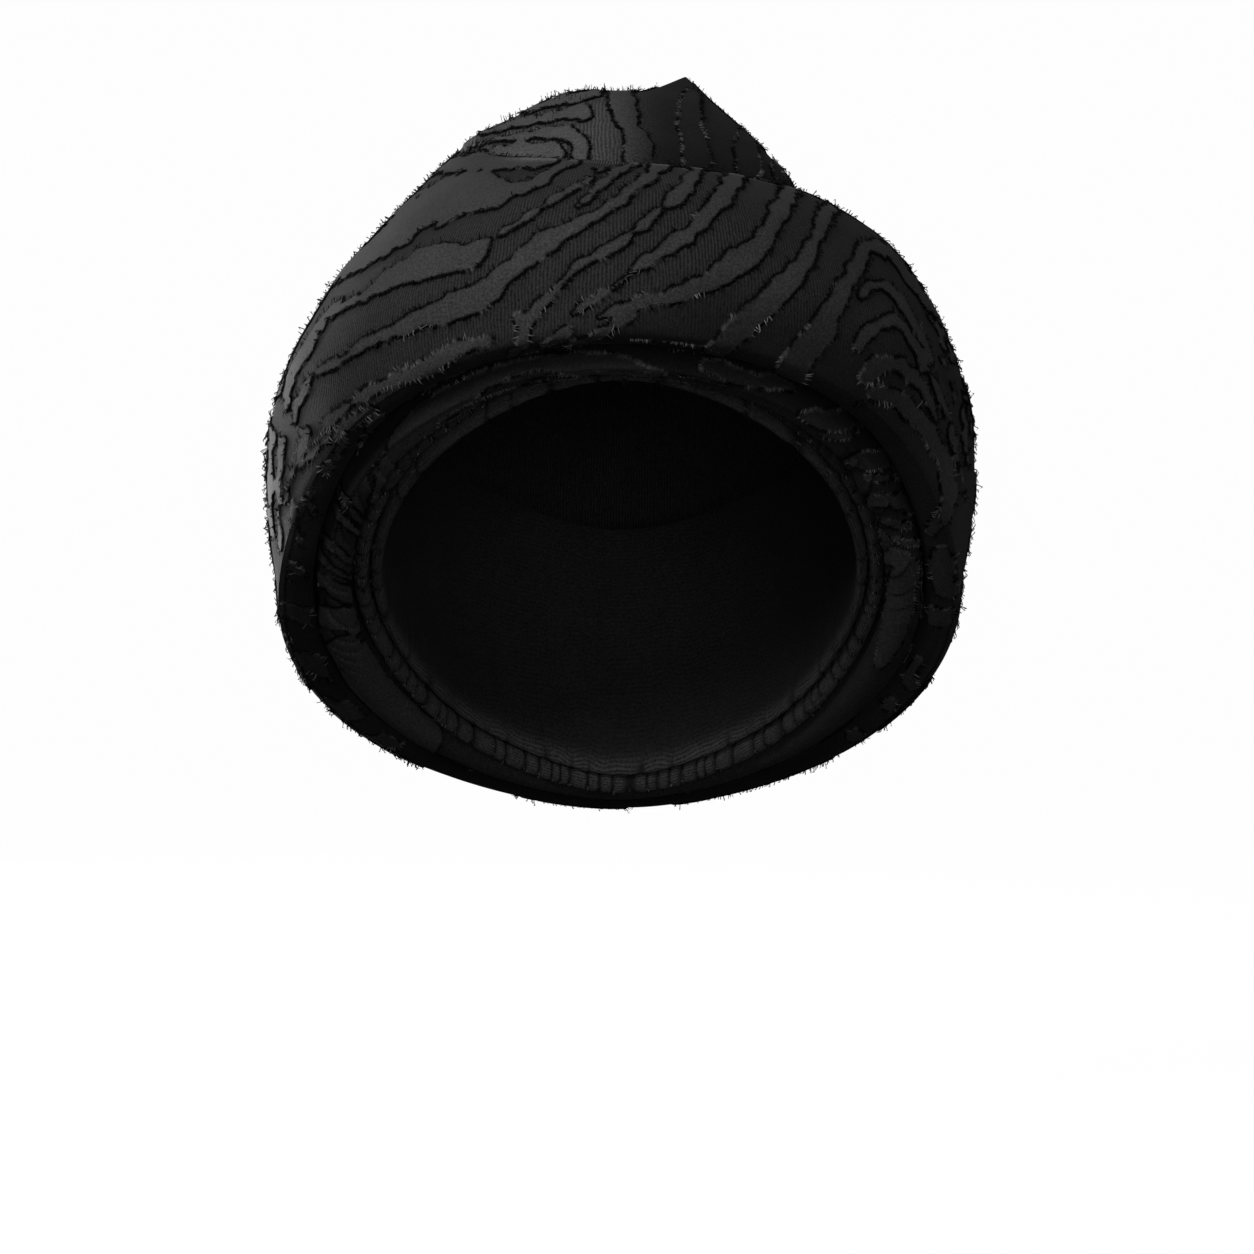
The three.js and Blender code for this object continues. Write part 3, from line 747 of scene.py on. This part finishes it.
def row_edge(grid, normals, row, toward, columns, drop):
    """An edge along one row of a grid, whose thread ends point towards another row."""
    return {
        "rim": grid[row], "foot": grid[row] - normals[row] * drop, "normal": normals[row],
        "way": unit(grid[toward] - grid[row]), "first": columns, "second": columns + 1,
    }


def between(angle, first, last):
    """The columns of a grid between two angles in degrees."""
    return np.flatnonzero((angle > math.radians(first)) & (angle < math.radians(last)))


def frayed(points):
    """A line painted light, as glints, that runs on with few breaks."""
    return np.full(len(points), FRAYED_LIGHT)


def fold_controls(out, height, half, leg):
    """A turn folded up at its lower edge: the inner leg, the fold and the foot of its outer side."""
    shape = (
        (-half, leg + 0 * half), (-half, leg / 2 + 0 * half), (-half, half),
        (-half * FOLD_ROUND_OUT, half * FOLD_ROUND_UP), (0 * half, 0 * half),
        (half * FOLD_ROUND_OUT, half * FOLD_ROUND_UP), (half, half),
    )
    return [np.stack([out + across, height + up], axis=-1) for across, up in shape]


def pair(columns, name, angle):
    return np.stack([around(columns[name + end], angle) for end in ("_out", "_z")], axis=-1)


def near_fold(points):
    """How much more the outer turn's thread ends are painted light, as glints, near its lower fold and on
    its right flank.
    """
    angle = angle_of(points)
    height = points[:, 2] - around(RIM["outer_z"], angle)
    low = 1.1 * (1 - smooth(9, 20, height)) * (1 - smooth(2.2, 2.7, np.abs(angle)))
    return np.maximum(low, 0.6 * smooth(80, 98, points[:, 0]) * (1 - smooth(10, 30, points[:, 1])))


def right_glints(points):
    """How much more the crown's thread ends are painted light, as glints, right of its peak."""
    return 1.2 * smooth(8, 16, points[:, 0]) * (1 - smooth(-20, 0, points[:, 1]))


def front_glints(points):
    """How much more the under turn's thread ends are painted light, as glints, at the front and on the
    right.
    """
    angle = angle_of(points)
    return 0.2 + 1.2 * stretch(angle, -1.0, -0.7, 1.5, 2.3)


def pinch(angle):
    """How far the gathers pinch the under turn's fold."""
    total = 0 * angle
    for row in GATHERS:
        way = (np.degrees(angle) - row["middle"]) / row["spread"]
        wave = row["depth"] * (1 - way * way) * (1 - np.cos(math.pi * row["pinches"] * (way + 1))) / 2
        total = total + np.where(np.abs(way) < 1, wave, 0)
    return total


def pleats(angle, places):
    """Overlapping pleats that lean across the fold: their height, and a painted shade that is 1 in a
    crease and below 0, a painted highlight, on its lip.
    """
    height, pleat_shading = 0 * angle + 0 * places, 0 * angle + 0 * places
    for row in GATHERS:
        way = (np.degrees(angle) - row["middle"]) / row["spread"]
        phase = (row["pleats"] * way / 2 + row["lean"] * (places - 4) / 4 + 0.2 * np.sin(way * 9)) % 1
        fade = np.where(np.abs(way) < 1, 1 - smooth(0.6, 1.0, np.abs(way)), 0)
        height = height + fade * (phase - smooth(1 - PLEAT_STEP, 1, phase))
        pleat_shading = pleat_shading + fade * np.exp(-(np.minimum(phase, 1 - phase) / 0.07) ** 2)
        pleat_shading = pleat_shading - 0.7 * fade * np.exp(-((phase - 1 + PLEAT_STEP) / 0.08) ** 2)
    return height, pleat_shading


def hem_half(places, wall_half):
    """Half the hem's thickness: a bead at the edge that thins to the wall."""
    bead = HEM_BEAD_HALF - (HEM_BEAD_HALF - wall_half) * smooth(0.9, 1.65, places)
    return EDGE_HALF + (bead - EDGE_HALF) * np.sqrt(np.clip(places / 0.4, 0, 1))


def pinched_columns(way):
    """The columns of a tube at its pinches, half way between whole numbers of way."""
    return np.flatnonzero(np.diff(np.floor(way + 0.5)) > 0)


def nearest(places, place):
    return int(np.argmin(np.abs(places - place)))


def crown_normals(grid):
    """Outward normals of the crown's grid, upright at its peak."""
    normals = -ring_normals(grid)
    normals[0] = UP
    return normals


def turn_wall(controls, front, back, angle):
    """A turn of cloth, thin at both edges: its grid, its normals, and its places, with -1 behind."""
    front_half = np.full(len(front), CLOTH_HALF)
    back_half = np.full(len(back), BACK_HALF)
    front_half[[0, -1]] = back_half[[0, -1]] = EDGE_HALF
    grid = ring_points(wall(controls, front, back, front_half, back_half), angle)
    places = np.concatenate([front, np.full(len(back), -1.0)])[:, None] + 0 * angle
    return grid, ring_normals(grid), places


def cut_cloth(grid, normals, triangles, strokes, rest, wander, banded):
    """Cuts bands where banded: the strokes in front, the field rest elsewhere, with wandering edges."""
    flat = grid.reshape(-1, 3)
    flat_normals = normals.reshape(-1, 3)
    field = grain_field(flat, flat_normals, strokes, rest) + wander
    field = np.where(banded.ravel(), field, NO_BAND)
    lower = lower_side(field.reshape(grid.shape[:2]), grid)
    return cut_bands(flat, flat_normals, triangles, field, lower)


def plain_object(name, grid, shade, across):
    """A closed tube of ribbed cloth with no bands."""
    shape = grid.shape[:2]
    piece = cloth_object(name, grid.reshape(-1, 3), grid_triangles(grid), {
        "satin": np.zeros(shape).ravel(),
        "shade": np.broadcast_to(shade, shape).ravel(),
        "across": np.broadcast_to(across, shape).ravel(),
    })
    weld_and_smooth(piece, TUBE_CREASE)
    return piece


def make_outer():
    """The wide outer turn, and its thread ends."""
    angle = turn_angles(OUTER_TURNS)
    out = around(RIM["head_out"], angle) + OUTER_OUT
    half = np.full(OUTER_TURNS, OUTER_FOLD)
    fold = fold_controls(out, around(RIM["outer_z"], angle), half, OUTER_INNER_LEG)
    top = pair(OUTER, "top", angle)
    lip_in, lip_drop = (around(LIP[name], angle) for name in ("inward", "drop"))
    lip = [top - np.stack([lip_in * inward, lip_drop * down], -1) for inward, down in LIP_WAY]
    controls = np.stack([*fold, pair(OUTER, "bulge", angle), pair(OUTER, "shoulder", angle), top, *lip])
    front = rows(*OUTER_FRONT)
    grid, normals, places = turn_wall(controls, front, rows(*OUTER_BACK), angle)
    slack = waves(grid, DRAPE_WAVE, 5) * stretch(places, *OUTER_SLACK)
    grid = grid + normals * (DRAPE_DEPTH * slack)[..., None]
    normals = ring_normals(grid)
    flat = grid.reshape(-1, 3)
    points, faces, values, edges = cut_cloth(
        grid, normals, grid_triangles(grid), OUTER_GRAIN, wave_field(flat),
        ragged(flat, 21), stretch(places, *OUTER_BANDED) > 0.5)

    # Painted shade on the fold and on the low left flank, and a painted highlight, a light line, along the
    # front of the top fold.
    x, y, z = flat.T
    start, full, fade, end = OUTER_SHADED
    further = SHADED_RIGHT * smooth(-0.2, 0.25, np.sin(angle)) * smooth(0.2, 0.5, np.cos(angle))
    shaded = stretch(places, start, full, fade + further, end + further)
    at_side = smooth(0.7, 0.95, np.abs(np.sin(angle)))
    shaded = shaded * (FOLD_SHADE - (FOLD_SHADE - FOLD_SHADE_SIDE) * at_side)
    flank = FLANK_SHADE * smooth(-12, 0, -z) * smooth(60, 85, -x) * (y < 40)
    line = TOP_FOLD_HIGHLIGHT["light"] * np.exp(-((places.ravel() - TOP_FOLD_HIGHLIGHT["place"]) / TOP_FOLD_HIGHLIGHT["wide"]) ** 2)
    line = line * smooth(-40, -25, x) * (y < 0)
    shade = values["shade"][: len(flat)]
    shade[:] = np.maximum(shade, np.maximum(shaded.ravel(), flank)) - line
    piece = cloth_object("outer_cloth", points, faces, values)
    weld_and_smooth(piece, BAND_CREASE)

    # The edge of the lip, where it lies open on the crown, and a frayed line along the lower fold, painted
    # light.
    end = len(front) - 2
    lip_edge = row_edge(grid, normals, end, end - 2, between(angle, 195, 335), CLOTH_HALF)
    lip_edge["way"] = -lip_edge["way"]
    low = nearest(front, 4.7)
    low_edge = row_edge(grid, normals, low, low - 1, between(angle, 1, 17), 0)
    ends = thread_object("outer_threads", [
        fringe(edges, 33, near_fold),
        threads(edges, spacing=1.4, length=2.1, thickness=0.19, seed=31, glints=near_fold),
        fringe(lip_edge, 35),
        threads(lip_edge, spacing=0.8, length=1.2, thickness=0.15, seed=37),
        fringe(low_edge, 39, frayed),
        threads(low_edge, spacing=0.5, length=1.2, thickness=0.2, seed=40, glints=frayed),
    ])
    return piece, ends


def make_crown():
    """The soft top, whose sections run out from its peak, and its thread ends."""
    angle = np.arange(CROWN_TURNS) * TAU / CROWN_TURNS
    set_in = around(CROWN["set_in"], angle)
    top = pair(OUTER, "top", angle)
    valley = ring_points(top - np.stack([set_in, 0 * angle + VALLEY_DROP], -1), angle)
    reach = valley[:, :2] - np.array(PEAK[:2])
    run = np.linalg.norm(reach, axis=1)
    reach /= run[:, None]
    controls = [np.stack([0 * run, 0 * run + PEAK[2]], -1)]
    for name, way in CROWN_STATIONS:
        controls.append(np.stack([run * (1 - way), around(CROWN[name], angle)], -1))
    controls.append(np.stack([run, valley[:, 2]], -1))
    controls.append(np.stack([run + set_in + SKIRT_UNDER, valley[:, 2] - SKIRT_DROP], -1))
    front, back = rows(*CROWN_FRONT), rows(*CROWN_BACK)
    front_half = np.full(len(front), -CLOTH_HALF)
    back_half = np.full(len(back), -BACK_HALF)
    front_half[-1] = back_half[0] = -EDGE_HALF
    section = wall(np.stack(controls), front, back, front_half, back_half)
    section[0] = (0, PEAK[2] + CLOTH_HALF)
    section[-1] = (0, PEAK[2] - BACK_HALF)
    grid = np.concatenate([np.array(PEAK[:2]) + reach * section[..., :1], section[..., 1:]], axis=-1)

    # The cloth swells a little over the lip on the left.
    swollen = smooth(20, 45, -grid[..., 0]) * stretch(grid[..., 2] - top[:, 1], *SWELL_HEIGHTS)
    grid = grid + crown_normals(grid) * (CROWN_SWELL * swollen)[..., None]
    normals = crown_normals(grid)
    places = np.concatenate([front, np.full(len(back), 9.0)])[:, None] + 0 * angle
    flat = grid.reshape(-1, 3)
    points, faces, values, edges = cut_cloth(
        grid, normals, grid_triangles(grid, closed=False)[:, ::-1], CROWN_GRAIN, crown_waves(flat),
        0.8 * ragged(flat, 41), (places < 5.2) & (places > 0.05))
    # Painted shade on the crown's right side, which is turned away from the light.
    turned_away = smooth(-12, 16, points[:, 0]) * (1 - smooth(2, 24, points[:, 1]))
    values["shade"] = np.maximum(values["shade"], CROWN_SHADE * turned_away)
    piece = cloth_object("crown_cloth", points, faces, values)
    weld_and_smooth(piece, BAND_CREASE)

    # Loose thread ends that stand on the left shoulder.
    loose = between(angle, 238, 325)[::7]
    lines = [nearest(front, place) for place in (1.2, 1.7, 2.3, 2.9)]
    ends = thread_object("crown_threads", [
        fringe(edges, 53, right_glints),
        threads(edges, spacing=0.85, length=1.6, thickness=0.15, seed=51, glints=right_glints),
        *(tufts(grid, normals, line, loose, UP, each=4, length=2.1, thickness=0.34, seed=55 + line,
                shine=0.1) for line in lines),
    ])
    return piece, ends


def make_under():
    """The second turn, pinched and pleated at both temples, and its thread ends."""
    angle = turn_angles(UNDER_TURNS)
    out = around(RIM["head_out"], angle) + UNDER_OUT
    pinched = pinch(angle)
    height = around(RIM["under_z"], angle) + pinched
    fold = fold_controls(out, height, UNDER_FOLD - pinched / 2, UNDER_INNER_LEG)
    controls = np.stack([*fold, pair(UNDER_LEG, "mid", angle), pair(UNDER_LEG, "top", angle)])
    front = rows(*UNDER_FRONT)
    grid, normals, places = turn_wall(controls, front, rows(*UNDER_BACK), angle)
    pleat, pleat_shading = pleats(angle, places)
    gathered = stretch(places, *UNDER_GATHERED)
    grid = grid + normals * (PLEAT_HEIGHT * gathered * (pleat - 0.6))[..., None]
    normals = ring_normals(grid)
    flat = grid.reshape(-1, 3)
    points, faces, values, edges = cut_cloth(
        grid, normals, grid_triangles(grid), UNDER_GRAIN, wave_field(flat, 0.45),
        0.7 * ragged(flat, 61), stretch(places, *UNDER_BANDED) > 0.4)

    # Painted shade on the front over and under its fold and in the creases of the pleats, and a painted
    # highlight on the pleats' lips.
    folded = (pleat_shading * gathered).ravel()
    tucked = TUCKED_SHADE * np.maximum(smooth(5.1, 5.9, places), 1 - smooth(2.2, 3.0, places))
    tucked = np.maximum(tucked, FRONT_SHADE) * smooth(0.3, 0.7, np.cos(angle))
    shade = values["shade"][: len(flat)]
    darkest = np.maximum(np.maximum(shade, folded), tucked.ravel())
    shade[:] = np.where(folded < 0, folded, darkest)
    piece = cloth_object("under_cloth", points, faces, values)
    weld_and_smooth(piece, BAND_CREASE)

    # A frayed line along the front of the fold, on the left, painted light.
    low = nearest(front, 4.5)
    low_edge = row_edge(grid, normals, low, low - 1, between(angle, 316, 353), 0)
    ends = thread_object("under_threads", [
        fringe(edges, 73, front_glints),
        threads(edges, spacing=0.7, length=1.1, thickness=0.15, seed=71, glints=front_glints),
        fringe(low_edge, 77, frayed),
        threads(low_edge, spacing=0.45, length=1.1, thickness=0.2, seed=79, glints=frayed),
    ])
    return piece, ends


def make_roll():
    """The narrow gathered roll, and the thread ends in its pinches."""
    angle = np.arange(ROLL_TURNS) * TAU / ROLL_TURNS
    turn = np.arange(ROLL_SIDES) * TAU / ROLL_SIDES
    way = angle * ROLL_BEADS / TAU + 0.35 * np.sin(angle * 9)
    way = way + 0.2 * np.sin(angle * 23 + 1) + 0.1 * np.sin(angle * 41 + 2)
    tight = np.exp(-((way % 1 - 0.5) / 0.14) ** 2)
    share = 0.95 - 0.34 * tight
    out = around(RIM["head_out"], angle) + ROLL_OUT
    height = around(RIM["roll_z"], angle) + ROLL_HALF_HEIGHT
    section = np.stack([
        out + np.cos(turn)[:, None] * (ROLL_HALF_WIDTH + ROLL_WIDER) * share,
        height + np.sin(turn)[:, None] * (ROLL_HALF_HEIGHT - ROLL_FLATTER) * share,
    ], axis=-1)
    grid = ring_points(section, angle)
    normals = ring_normals(grid)
    ridge = np.sin(turn[:, None] * 7 + way * TAU * 0.35) * (0.1 + 0.16 * tight)
    grid = grid + normals * ridge[..., None]
    # Painted shade in the pinches and over the front.
    shade = TUCKED_SHADE * np.maximum(tight, 0.6 * smooth(0.3, 0.7, np.cos(angle)))
    piece = plain_object("rolled_cloth", grid, shade, turn[:, None] * ROLL_HALF_HEIGHT)
    columns = pinched_columns(way)
    below, beside = ROLL_SIDES * 3 // 4, ROLL_SIDES * 9 // 10
    ends = thread_object("roll_threads", [
        tufts(grid, normals, below, columns, -UP, each=8, length=0.9, thickness=0.4, seed=81, shine=1.0),
        tufts(grid, normals, beside, columns, -UP, each=4, length=1.2, thickness=0.18, seed=83, shine=0.7),
    ])
    return piece, ends


def make_hem():
    """The hem band that lies against the head, with a beaded edge, and the thread ends in its pinches."""
    angle = turn_angles(HEM_TURNS)
    hem = np.stack([around(RIM["head_out"], angle) + HEM_OUT, around(RIM["hem_z"], angle)], -1)
    middle = pair(BAND, "mid", angle)
    controls = np.stack([hem, hem + (middle - hem) * HEM_SHARE, middle, pair(BAND, "top", angle)])
    front, back = rows(*HEM_FRONT), rows(*HEM_BACK)
    front_half = hem_half(front, CLOTH_HALF)
    back_half = hem_half(back, BACK_HALF)
    front_half[-1] = back_half[0] = EDGE_HALF
    section = wall(controls, front, back, front_half, back_half)
    grid = ring_points(section, angle)
    normals = ring_normals(grid)
    places = np.concatenate([front, back])[:, None] + 0 * angle
    way = angle * HEM_WRAPS / TAU + 0.45 * np.sin(angle * 5 + 1) + 0.3 * np.sin(angle * 13)
    wraps = np.exp(-((way % 1 - 0.5) / 0.07) ** 2)
    swell = np.abs(np.sin(math.pi * (way % 1 + 0.5)))
    in_bead = 1 - smooth(0.9, 1.5, places)
    inside = np.repeat([0.0, 1.0], [len(front), len(back)])[:, None] * smooth(0.2, 0.8, places)
    grid = grid - normals * ((0.8 * wraps + 0.25 * swell) * in_bead)[..., None]
    normals = ring_normals(grid)
    # Painted shade on the inside skin, high up the wall and in the pinches of the bead.
    shade = INSIDE_SHADE * np.maximum(inside, smooth(1.2, 1.8, places))
    shade = np.maximum(TUCKED_SHADE * wraps * in_bead * (1 - inside), shade)
    steps = np.linalg.norm(np.diff(section, axis=0, prepend=section[:1]), axis=-1)
    length = np.cumsum(steps.mean(axis=1))
    piece = plain_object("hem_cloth", grid, shade, length[:, None] + 0.6 * np.sin(way * 4))
    columns = pinched_columns(way)
    ends = thread_object("hem_threads", [
        tufts(grid, normals, 3, columns, -UP, each=6, length=1.9, thickness=0.16, seed=91, shine=0.4),
        tufts(grid, normals, 9, columns, -UP, each=5, length=1.2, thickness=0.2, seed=93, shine=0.9),
    ])
    return piece, ends


class Value:
    """A shader socket that takes part in plain arithmetic."""

    def __init__(self, tree, socket=None):
        self.tree = tree
        self.socket = socket

    def node(self, kind, settings=None, sockets=None, out=0):
        """Adds a node: its settings first, then the values or links of its sockets."""
        made = self.tree.nodes.new(kind)
        for name, value in (settings or {}).items():
            setattr(made, name, value)
        for name, value in (sockets or {}).items():
            if isinstance(value, Value):
                self.tree.links.new(value.socket, made.inputs[name])
            else:
                made.inputs[name].default_value = value
        return Value(self.tree, made.outputs[out] if made.outputs else None)

    def math(self, operation, first, second=0.0):
        return self.node("ShaderNodeMath", {"operation": operation}, {0: first, 1: second})

    def __add__(self, other):
        return self.math("ADD", self, other)

    def __sub__(self, other):
        return self.math("SUBTRACT", self, other)

    def __rsub__(self, other):
        return self.math("SUBTRACT", other, self)

    def __mul__(self, other):
        return self.math("MULTIPLY", self, other)

    __radd__ = __add__
    __rmul__ = __mul__


def new_material(name):
    material = bpy.data.materials.new(name)
    material.use_nodes = True
    material.node_tree.nodes.clear()
    return material, Value(material.node_tree)


def grey(share):
    return (share, share, share, 1)


def attribute(start, name):
    return start.node("ShaderNodeAttribute", {"attribute_name": name}, out="Fac")


def noise(start, place, scale, detail):
    return start.node("ShaderNodeTexNoise", {}, {"Vector": place, "Scale": scale, "Detail": detail})


def cloth_material(name, satin_grey, rib_grey, rib_way="round"):
    """Black jacquard: smooth bands with a fine grain, a ribbed ground and dark clipped edges, with painted
    shade from the shade attribute and a painted highlight where it is below 0.
    """
    material, start = new_material(name)
    place = start.node("ShaderNodeTexCoord", out="Object")
    parts = start.node("ShaderNodeSeparateXYZ", {}, {0: place})
    x, y = parts, Value(parts.tree, parts.socket.node.outputs["Y"])
    satin = attribute(start, "satin")
    shade = attribute(start, "shade")
    if rib_way == "level":
        phase = x * (TAU / (RIB_WIDTH * MM))
    elif rib_way == "lengthwise":
        phase = attribute(start, "across") * (TAU / RIB_WIDTH)
    else:
        phase = start.math("ARCTAN2", x, y * -1.0) * RIBS_ROUND
    drift = noise(start, place, scale=130.0, detail=2.0)
    # The ribs fade where the shade attribute paints shade.
    ribs = (start.math("SINE", phase + drift * RIB_WANDER) * 0.5) * (1 - shade * 0.9) + 0.5
    grain = noise(start, place, scale=1400.0, detail=2.0)
    blotch = noise(start, place, scale=60.0, detail=3.0)
    height = (1 - satin) * ribs * 0.2 + grain * 0.3
    bump = start.node("ShaderNodeBump", {}, {
        "Strength": 0.8, "Distance": MM, "Height": height}, out="Normal")
    weave = start.node("ShaderNodeMix", {"data_type": "RGBA"}, {
        "Factor": satin, 6: grey(rib_grey), 7: grey(satin_grey)}, out=2)
    ground_light = (1 - satin) * (ribs - 0.5) * 0.75
    # The shade attribute paints shade here, and a highlight where it is below 0; blotch and grain are the
    # cloth's own tone.
    light = (1 - shade * 0.8) * (blotch * 0.4 + grain * 2.2 - 0.35 + ground_light)
    wall_dark = 1 - satin * (1 - satin) * 3.2
    colour = start.node("ShaderNodeMix", {"data_type": "RGBA", "blend_type": "MULTIPLY"}, {
        "Factor": 1.0, 6: weave, 7: light * wall_dark}, out=2)
    surface = start.node("ShaderNodeBsdfPrincipled", {}, {
        "Base Color": colour, "Roughness": 0.84 - satin * 0.1 + grain * 0.06, "Normal": bump,
        "Specular IOR Level": 0.12, "Sheen Weight": 0.015, "Sheen Roughness": 0.5})
    start.node("ShaderNodeOutputMaterial", {}, {"Surface": surface})
    return material


def thread_material(name):
    """Clipped thread ends, mostly black; the tint makes a few lighter at random and paints others light as
    glints.
    """
    material, start = new_material(name)
    black, light = THREAD_GREYS
    colour = start.node("ShaderNodeMix", {"data_type": "RGBA"}, {
        "Factor": attribute(start, "tint"), 6: grey(black), 7: grey(light)}, out=2)
    surface = start.node("ShaderNodeBsdfPrincipled", {}, {
        "Base Color": colour, "Roughness": 0.8, "Specular IOR Level": 0.08})
    start.node("ShaderNodeOutputMaterial", {}, {"Surface": surface})
    return material


def soft_light(name, place, aim, size, power):
    data = bpy.data.lights.new(name, "AREA")
    data.shape = "DISK"
    data.size = size
    data.energy = power
    lamp = bpy.data.objects.new(name, data)
    bpy.context.scene.collection.objects.link(lamp)
    lamp.location = place
    lamp.rotation_euler = (Vector((0, 0, aim)) - Vector(place)).to_track_quat("-Z", "Y").to_euler()


outer, outer_threads = make_outer()
crown, crown_threads = make_crown()
under, under_threads = make_under()
roll, roll_threads = make_roll()
hem_band, hem_threads = make_hem()

woven = cloth_material("woven_bands", SATIN_GREY, RIBBED_GREY)
# The crown gets lighter greys than the woven cloth, as painted light.
crown_lit_weave = cloth_material("crown_bands", CROWN_LIT_SATIN_GREY, CROWN_LIT_RIBBED_GREY, "level")
# The roll and hem get a lighter ribbed grey than the turns, as painted light.
plain = cloth_material("plain_rib", SATIN_GREY, PLAIN_LIT_GREY, "lengthwise")
thread = thread_material("clipped_thread")
for piece, material in (
    (outer, woven), (under, woven), (crown, crown_lit_weave), (roll, plain), (hem_band, plain),
):
    piece.data.materials.append(material)
for piece in (outer_threads, crown_threads, under_threads, roll_threads, hem_threads):
    piece.data.materials.append(thread)

# What each piece stands for.
for piece, node, slot in (
    (outer, "outer_turn", "outer_cloth"), (crown, "crown", "crown_cloth"),
    (under, "under_turn", "under_cloth"), (roll, "gathered_roll", "roll_cloth"),
    (hem_band, "hem_band", "hem_cloth"),
):
    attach(piece, "root")
    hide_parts(node)
for piece, slot in (
    (outer_threads, "outer_cloth"), (crown_threads, "crown_cloth"), (under_threads, "under_cloth"),
    (roll_threads, "roll_cloth"), (hem_threads, "hem_cloth"),
):
    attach(piece, "root")

# The floor, which looks white to the camera and throws little light back.
bpy.ops.mesh.primitive_plane_add(size=6, location=(0, 0, FLOOR_Z))
floor = bpy.context.object
floor.name = "floor"
material, start = new_material("pale_floor")
seen_ray = start.node("ShaderNodeLightPath", out="Is Camera Ray")
glow = start.node("ShaderNodeEmission", {}, {"Color": grey(1), "Strength": seen_ray * FLOOR_WHITE})
paint = start.node("ShaderNodeBsdfDiffuse", {}, {"Color": grey(FLOOR_GREY)})
both = start.node("ShaderNodeAddShader", {}, {0: glow, 1: paint})
start.node("ShaderNodeOutputMaterial", {}, {"Surface": both})
floor.data.materials.append(material)

# The backdrop, white to the camera, and a weak sky that is lighter overhead.
world = bpy.data.worlds.new("studio")
bpy.context.scene.world = world
world.use_nodes = True
world.node_tree.nodes.clear()
start = Value(world.node_tree)
seen_ray = start.node("ShaderNodeLightPath", out="Is Camera Ray")
heading = start.node("ShaderNodeTexCoord", out="Generated")
up = start.node("ShaderNodeSeparateXYZ", {}, {0: heading}, out="Z")
sky = start.math("MAXIMUM", up, 0.0) * SKY_OVERHEAD + SKY_LEVEL
strength = sky * (1 - seen_ray) + seen_ray * BACKDROP_WHITE
back = start.node("ShaderNodeBackground", {}, {"Color": grey(1), "Strength": strength})
start.node("ShaderNodeOutputWorld", {}, {"Surface": back})

for light in LIGHTS:
    soft_light(*light)

camera_data = bpy.data.cameras.new("front")
camera_data.sensor_width = 36
camera_data.lens = LENS
camera = bpy.data.objects.new("front", camera_data)
bpy.context.scene.collection.objects.link(camera)
camera.location = [value * MM for value in FRONT_EYE]
camera.rotation_euler = (math.pi / 2, 0, 0)
bpy.context.scene.camera = camera
bpy.context.scene.view_settings.view_transform = "Standard"
